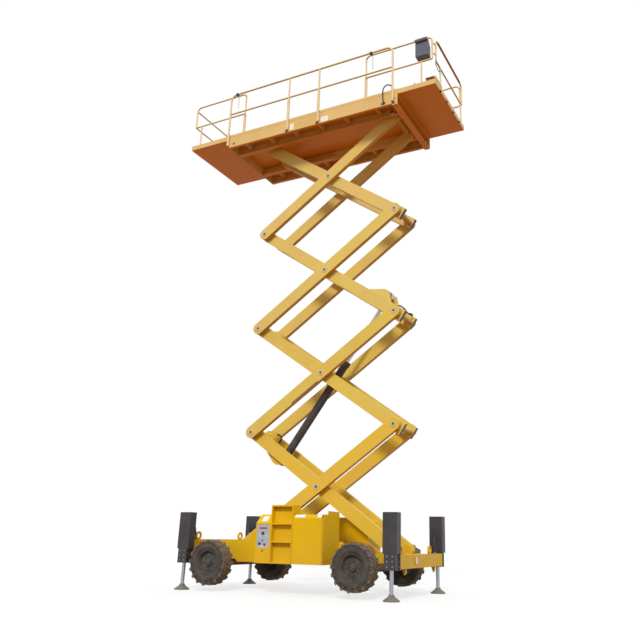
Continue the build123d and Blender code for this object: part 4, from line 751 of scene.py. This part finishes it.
# Black moulded plugs close the open front ends of the upper inner arms, and a
# hose crosses from arm to arm over the third pair's cross tube.
PLUG_Y = (0.2165, 0.2895)
PLUG_X = (0.120, 0.1485)
PLUG_HALF_DEPTH = 0.1035
plug_plastic = tinted_plastic("plug_black_polythene", "#222123", "#343234", 0.45)
for stage in (2, 3, 4):
    place = Matrix.Translation(front_pins[stage - 1]) @ Matrix.Rotation(ARM_SLOPE, 4, "Y")
    bm = bmesh.new()
    for side in (-1, 1):
        inner, outer = sorted(side * y for y in PLUG_Y)
        block(bm, (PLUG_X[0], inner, -PLUG_HALF_DEPTH), (PLUG_X[1], outer, PLUG_HALF_DEPTH), 0.004,
              place)
    finish_piece(bm, f"arm_plugs_{stage}", plug_plastic, f"inner_arms_{stage}")

place = Matrix.Translation(front_pins[2]) @ Matrix.Rotation(ARM_SLOPE, 4, "Y")
run = [(-0.06, -0.255, 0.100), (-0.05, -0.252, 0.138), (0.02, -0.235, 0.142), (0.075, -0.19, 0.130),
       (0.090, -0.10, 0.105), (0.090, 0.10, 0.105), (0.075, 0.19, 0.130), (0.02, 0.235, 0.142),
       (-0.05, 0.252, 0.138), (-0.06, 0.255, 0.100)]
hose("crossing_hose", [tuple(place @ Vector(point)) for point in run], 0.013, hose_rubber,
     "inner_arms_3")

# A dark steel cable channel lies along the lower edge of the second outer arm,
# and a short hose bows over the top end of the first inner arm.
CHANNEL_Y = (0.4078, 0.4125)
CHANNEL_X = (1.00, 1.66)
CHANNEL_Z = (-0.108, -0.088)
CHANNEL_SCREWS = (1.06, 1.33, 1.60)
place = Matrix.Translation(rear_pins[0]) @ Matrix.Rotation(-ARM_SLOPE, 4, "Y")
bm = bmesh.new()
for side in (-1, 1):
    low, high = sorted(side * y for y in CHANNEL_Y)
    block(bm, (CHANNEL_X[0], low, CHANNEL_Z[0]), (CHANNEL_X[1], high, CHANNEL_Z[1]), 0.0015, place)
    for x in CHANNEL_SCREWS:
        disc(bm, place @ Vector((x, side * 0.412, -0.098)), (0, side, 0), 0.007, 0.004, 6)
finish_piece(bm, "cable_channels", dark_steel, "outer_arms_2")
place = Matrix.Translation(front_pins[0]) @ Matrix.Rotation(ARM_SLOPE, 4, "Y")
run = [(-3.47, 0.27, 0.10), (-3.47, 0.27, 0.135), (-3.40, 0.24, 0.150), (-3.32, 0.22, 0.135),
       (-3.30, 0.20, 0.09), (-3.30, 0.20, 0.05)]
hose("barrel_feed_hose", [tuple(place @ Vector(point)) for point in run], 0.014, hose_rubber,
     "inner_arms_1")
bm = bmesh.new()
for x, y, z in ((-3.47, 0.27, 0.108), (-3.30, 0.208, 0.05)):
    foot = place @ Vector((x, y, z))
    up = (0, -1, 0) if z < 0.1 else place.to_3x3() @ Vector((0, 0, 1))
    disc(bm, foot, up, 0.022, 0.028, 6)
finish_piece(bm, "feed_hose_fittings", dark_steel, "inner_arms_1")


# ---------------------------------------------------------------- lift cylinder
# A drawn steel barrel painted dark grey, and a hard-chromed rod.
BARREL_GREY = "#3A3638"
ROD_CHROME = "#B9B4AE"

dress(painted_casting("barrel_grey_paint", BARREL_GREY, "#544C48", 0.012), "lift_barrel")
rod_chrome = bare_material("rod_hard_chrome")
place = add_node(rod_chrome, "TexCoord")
wipe = add_node(rod_chrome, "TexNoise", {"Scale": 1 / 0.05, "Detail": 6.0},
                {"Vector": place.outputs["Object"]})
wiped = add_node(rod_chrome, "MapRange", {"To Min": 0.14, "To Max": 0.34}, {"Value": wipe.outputs["Fac"]})
chrome = add_node(rod_chrome, "BsdfPrincipled", {"Base Color": linear(ROD_CHROME), "Metallic": 1.0},
                  {"Roughness": wiped.outputs[0]})
add_node(rod_chrome, "OutputMaterial", links={"Surface": chrome.outputs[0]})
dress(rod_chrome, "lift_rod")


# Cap screws round the gland, and an oil port near the foot of the barrel.
SCREW_COUNT = 10
SCREW_CIRCLE = 0.062
GLAND_FACE = 2.2395
PORT_ALONG = 0.20
axis_start = Vector((joint_place["barrel_swing"].x, 0, joint_place["barrel_swing"].z))
rod_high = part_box("lift_rod")[1]
EYE_HALF = 0.078
rod_eye = Vector((rod_high.x - EYE_HALF, 0, rod_high.z - EYE_HALF))
along_barrel = (rod_eye - axis_start).normalized()
turn = along_barrel.to_track_quat("Z", "Y").to_matrix().to_4x4()
bm = bmesh.new()
for index in range(SCREW_COUNT):
    angle = 2 * pi * index / SCREW_COUNT
    place = Matrix.Translation(axis_start) @ turn
    foot = place @ Vector((SCREW_CIRCLE * cos(angle), SCREW_CIRCLE * sin(angle), GLAND_FACE))
    disc(bm, foot, along_barrel, 0.008, 0.008, 12)
side_out = turn.to_3x3() @ Vector((1, 0, 0))
foot = axis_start + along_barrel * PORT_ALONG + side_out * 0.07
disc(bm, foot, side_out, 0.030, 0.022, 18)
disc(bm, foot + side_out * 0.022, side_out, 0.018, 0.030, 6)
finish_piece(bm, "barrel_fittings", dark_steel, "lift_barrel")


# ---------------------------------------------------------------- platform
# Folded channel and plate, sprayed pale yellow; the undersides are painted a
# deep orange-brown shade.
PLATFORM_YELLOW = "#E0BE80"
PLATFORM_FADED = "#D9B470"
PLATFORM_PAINTED_SHADE = "#D67C04"

platform_enamel = sprayed_enamel("platform_sprayed_enamel", PLATFORM_YELLOW, PLATFORM_FADED,
                                 PLATFORM_PAINTED_SHADE, 0.0, 0.7)
dress(platform_enamel, "platform_frame", "main_deck", "tray_front", "tray_rear")

# the rails' faces that look down are painted a darker brown shade
rail_enamel = sprayed_enamel("rail_sprayed_enamel", "#EAD09A", "#D8C2A0", "#B08A50", 0.0, 0.3)
dress(rail_enamel, "main_rails", "tray_rails_front", "tray_rails_rear")

# Side beams: a seam of brown sealer under the toe strip, black bolts at the
# post feet and the beam's ends, and two blank vinyl labels on the right one.
# Bolts are along and up; labels are from and to along, from and to up.
beam_low, beam_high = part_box("platform_frame")
FACE_Y = 0.880
SEAM_BELOW_TOP = 0.062
SIDE_BOLTS = ((-1.715, 0.075), (-0.392, 0.030), (0.332, 0.030), (1.80, 0.050), (2.045, 0.095),
              (2.045, 0.005))
SIDE_LABELS = ((-0.300, -0.212, 0.030, 0.165), (0.432, 0.600, 0.018, 0.135))
beam_foot = beam_low.z + 0.037        # labels and bolts are placed up from here
sealer = moulded_rubber("seam_brown_sealer", "#6E4A22", "#8A6434", 0.01)

bm = bmesh.new()
for side in (-1, 1):
    low, high = sorted((side * (FACE_Y - 0.004), side * (FACE_Y - 0.0015)))
    block(bm, (beam_low.x + 0.03, low, beam_high.z - SEAM_BELOW_TOP - 0.003),
          (beam_high.x - 0.03, high, beam_high.z - SEAM_BELOW_TOP), 0.0006)
finish_piece(bm, "side_beam_seams", sealer, "platform")
bm = bmesh.new()
for side in (-1, 1):
    for x, rise in SIDE_BOLTS:
        bolt(bm, (x, side * FACE_Y, beam_foot + rise), (0, side, 0), 0.016)
finish_piece(bm, "side_beam_bolts", dark_steel, "platform")
bm = bmesh.new()
for x0, x1, z0, z1 in SIDE_LABELS:
    block(bm, (x0, -FACE_Y - 0.0014, beam_foot + z0), (x1, -FACE_Y + 0.0002, beam_foot + z1), 0.0004)
finish_piece(bm, "side_beam_labels", label_vinyl, "platform")

# The washers and dark bolts of the pins at the top of the stack.
TOP_KEEPER_FACE = 0.526
top_pin = front_pins[4]
bm, heads = bmesh.new(), bmesh.new()
for side in (-1, 1):
    out = Vector((0, side, 0))
    foot = Vector((top_pin.x, side * TOP_KEEPER_FACE, top_pin.z))
    disc(bm, foot, out, RING_RADIUS, 0.005, 28, RING_RADIUS - 0.004)
    disc(heads, foot + out * 0.003, out, 0.026, 0.010, 20)
finish_piece(bm, "top_pin_washers", bright_zinc, "outer_arms_4")
finish_piece(heads, "top_pin_bolts", dark_steel, "outer_arms_4")


# ---------------------------------------------------------------- rail latches
# A black clamp with a low knob on top locks each extension's rails, and a
# bright chain hangs beside it.
RAIL_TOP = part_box("main_rails")[1].z
RAIL_Y = 0.9083
LATCHES = (-1.702, 1.559)
CLAMP_HALF = (0.03, 0.026)
LINKS = 16
LINK_WIRE = 0.0022
LINK_RADIUS = 0.009
CHAIN_DROP = 0.35


def chain(bm, start, end, count):
    """Small round links along a straight line, each a quarter turn from the
    last. A tag marks the vertices that are already in their place."""
    start, end = Vector(start), Vector(end)
    for index in range(count):
        along = (index + 0.5) / count
        spot = start.lerp(end, along)
        lie = (end - start).to_track_quat("X", "Z").to_matrix().to_4x4()
        twist = Matrix.Rotation(pi / 2 * (index % 2), 4, "X")
        link = bmesh.ops.create_circle(bm, cap_ends=False, segments=6, radius=LINK_WIRE,
                                       matrix=Matrix.Translation((0, LINK_RADIUS, 0)))
        edges = dict.fromkeys(edge for vert in link["verts"] for edge in vert.link_edges)
        bmesh.ops.spin(bm, geom=link["verts"] + list(edges), cent=(0, 0, 0), axis=(1, 0, 0), angle=2 * pi,
                       steps=10, use_merge=True)
        fresh_verts = [vert for vert in bm.verts if not vert.tag]
        bmesh.ops.transform(bm, matrix=Matrix.Translation(spot) @ lie @ twist
                            @ Matrix.Rotation(pi / 2, 4, "Z"), verts=fresh_verts)
        for vert in fresh_verts:
            vert.tag = True


knobs, chains = bmesh.new(), bmesh.new()
for side in (-1, 1):
    for x in LATCHES:
        y = side * RAIL_Y
        block(knobs, (x - CLAMP_HALF[0], y - CLAMP_HALF[1], RAIL_TOP - 0.052),
              (x + CLAMP_HALF[0], y + CLAMP_HALF[1], RAIL_TOP - 0.001), 0.006)
        disc(knobs, (x, y, RAIL_TOP - 0.002), (0, 0, 1), 0.007, 0.006, 12)
        disc(knobs, (x, y, RAIL_TOP + 0.003), (0, 0, 1), 0.013, 0.006, 18, 0.020)
        disc(knobs, (x, y, RAIL_TOP + 0.009), (0, 0, 1), 0.020, 0.005, 18, 0.013)
        hook = Vector((x + CLAMP_HALF[0], y - side * 0.02, RAIL_TOP - 0.05))
        chain(chains, hook, hook - Vector((0, 0, CHAIN_DROP)), LINKS)
finish_piece(knobs, "rail_latches", black_plastic, "platform")
finish_piece(chains, "latch_chains", zinc, "platform")

# A black cable leaves the side beam by the front post and loops up into it.
GLAND_X, GLAND_RISE = 1.84, 0.05
POST_ENTRY = (2.019, -0.9083, 0.37)
RAIL_CABLE = [(GLAND_X, -0.876, GLAND_RISE), (GLAND_X, -0.905, 0.06), (1.835, -0.93, 0.13),
              (1.83, -0.935, 0.30), (1.87, -0.932, 0.40), (1.96, -0.925, 0.42), POST_ENTRY]
hose("rail_cable", [(x, y, beam_foot + rise) for x, y, rise in RAIL_CABLE], 0.012, hose_rubber,
     "platform")
bm = bmesh.new()
disc(bm, (GLAND_X, -0.8795, beam_foot + GLAND_RISE), (0, -1, 0), 0.026, 0.022, 6)
disc(bm, (GLAND_X, -0.9015, beam_foot + GLAND_RISE), (0, -1, 0), 0.020, 0.012, 16, 0.014)
finish_piece(bm, "rail_cable_gland", black_plastic, "platform")


# ---------------------------------------------------------------- front extension
# On the front tray: a folded brown steel locker by the right nose, a grey
# cleat, a black cable at the right nose post, and a brown sleeve over the end
# frame's top, which is painted shade: it stands for the shadow on that rail.
TRAY_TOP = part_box("tray_front")[1].z - 0.080
end_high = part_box("tray_rails_front")[1]
# the locker's faces that look down are painted a dark brown shade
locker_enamel = sprayed_enamel("locker_brown_enamel", "#8A4A2A", "#7A4026", "#5A2E1A", 0.0, 0.1)
LOCKER_X, LOCKER_Y, LOCKER_RISE = (2.68, 2.84), (-0.80, -0.60), 0.095
LID_LIP = 0.008
bm = bmesh.new()
block(bm, (LOCKER_X[0], LOCKER_Y[0], TRAY_TOP), (LOCKER_X[1], LOCKER_Y[1], TRAY_TOP + LOCKER_RISE),
      0.006)
block(bm, (LOCKER_X[0] - LID_LIP, LOCKER_Y[0] - LID_LIP, TRAY_TOP + LOCKER_RISE - 0.002),
      (LOCKER_X[1] + LID_LIP, LOCKER_Y[1] + LID_LIP, TRAY_TOP + LOCKER_RISE + 0.017), 0.004)
finish_piece(bm, "deck_locker", locker_enamel, "extension_front")
bm = bmesh.new()
block(bm, (2.44, -0.858, TRAY_TOP), (2.49, -0.80, TRAY_TOP + 0.012), 0.003)
block(bm, (2.455, -0.852, TRAY_TOP + 0.010), (2.475, -0.812, TRAY_TOP + 0.045), 0.004)
finish_piece(bm, "deck_cleat", zinc, "extension_front")
NOSE_X = 2.866
frame_top = end_high.z - 0.017
# a brown sleeve over the end frame's top rail, as painted shade for that rail's shadow
SHADE_SLEEVE_FROM, SHADE_SLEEVE_TO = -0.60, 0.70
bm = bmesh.new()
disc(bm, (NOSE_X, SHADE_SLEEVE_FROM, frame_top), (0, 1, 0), 0.0215, SHADE_SLEEVE_TO - SHADE_SLEEVE_FROM, 20)
for y in (SHADE_SLEEVE_FROM, SHADE_SLEEVE_TO):
    disc(bm, (NOSE_X, y - 0.006, frame_top), (0, 1, 0), 0.0235, 0.012, 20)
finish_piece(bm, "end_rail_shade_sleeve", moulded_rubber("painted_shade_brown_sleeve", "#A86428", "#8E5524", 0.006),
             "extension_front")
knee = TRAY_TOP + 0.490
hose("nose_cable_near", [(2.845, -0.720, knee - 0.02), (2.868, -0.700, knee - 0.10),
                         (2.872, -0.64, knee - 0.15), (2.870, -0.57, knee - 0.13),
                         (2.866, -0.510, knee - 0.06), (2.866, -0.502, knee - 0.01)],
     0.007, hose_rubber, "extension_front")


# ---------------------------------------------------------------- control boxes
# The lower panel is a moulded grey-blue polyester plate; the upper box is
# moulded in a darker grey ABS.


def moulded_plastic(name, tone, bloom_tone, grain=0.004):
    """Moulded plastic with a fine spark-eroded grain and a chalky bloom."""
    made = bare_material(name)
    place = add_node(made, "TexCoord")
    chalk = add_node(made, "TexNoise", {"Scale": 1 / 0.08, "Detail": 5.0},
                     {"Vector": place.outputs["Object"]})
    tone_mix = add_node(made, "Mix", {"data_type": "RGBA", 6: linear(tone), 7: linear(bloom_tone)},
                        {0: chalk.outputs["Fac"]})
    texture = add_node(made, "TexNoise", {"Scale": 1 / grain, "Detail": 1.0},
                       {"Vector": place.outputs["Object"]})
    bump = add_node(made, "Bump", {"Strength": 0.12, "Distance": 0.0005},
                    {"Height": texture.outputs["Fac"]})
    plastic = add_node(made, "BsdfPrincipled", {"Roughness": 0.48, "IOR": 1.53},
                       {"Base Color": tone_mix.outputs[2], "Normal": bump.outputs[0]})
    add_node(made, "OutputMaterial", links={"Surface": plastic.outputs[0]})
    return made


dress(moulded_plastic("panel_grey_polyester", "#A9B4C2", "#9CA7B8"), "control_panel")
dress(moulded_plastic("upper_box_grey_abs", "#494F65", "#555B70"), "upper_control_box")
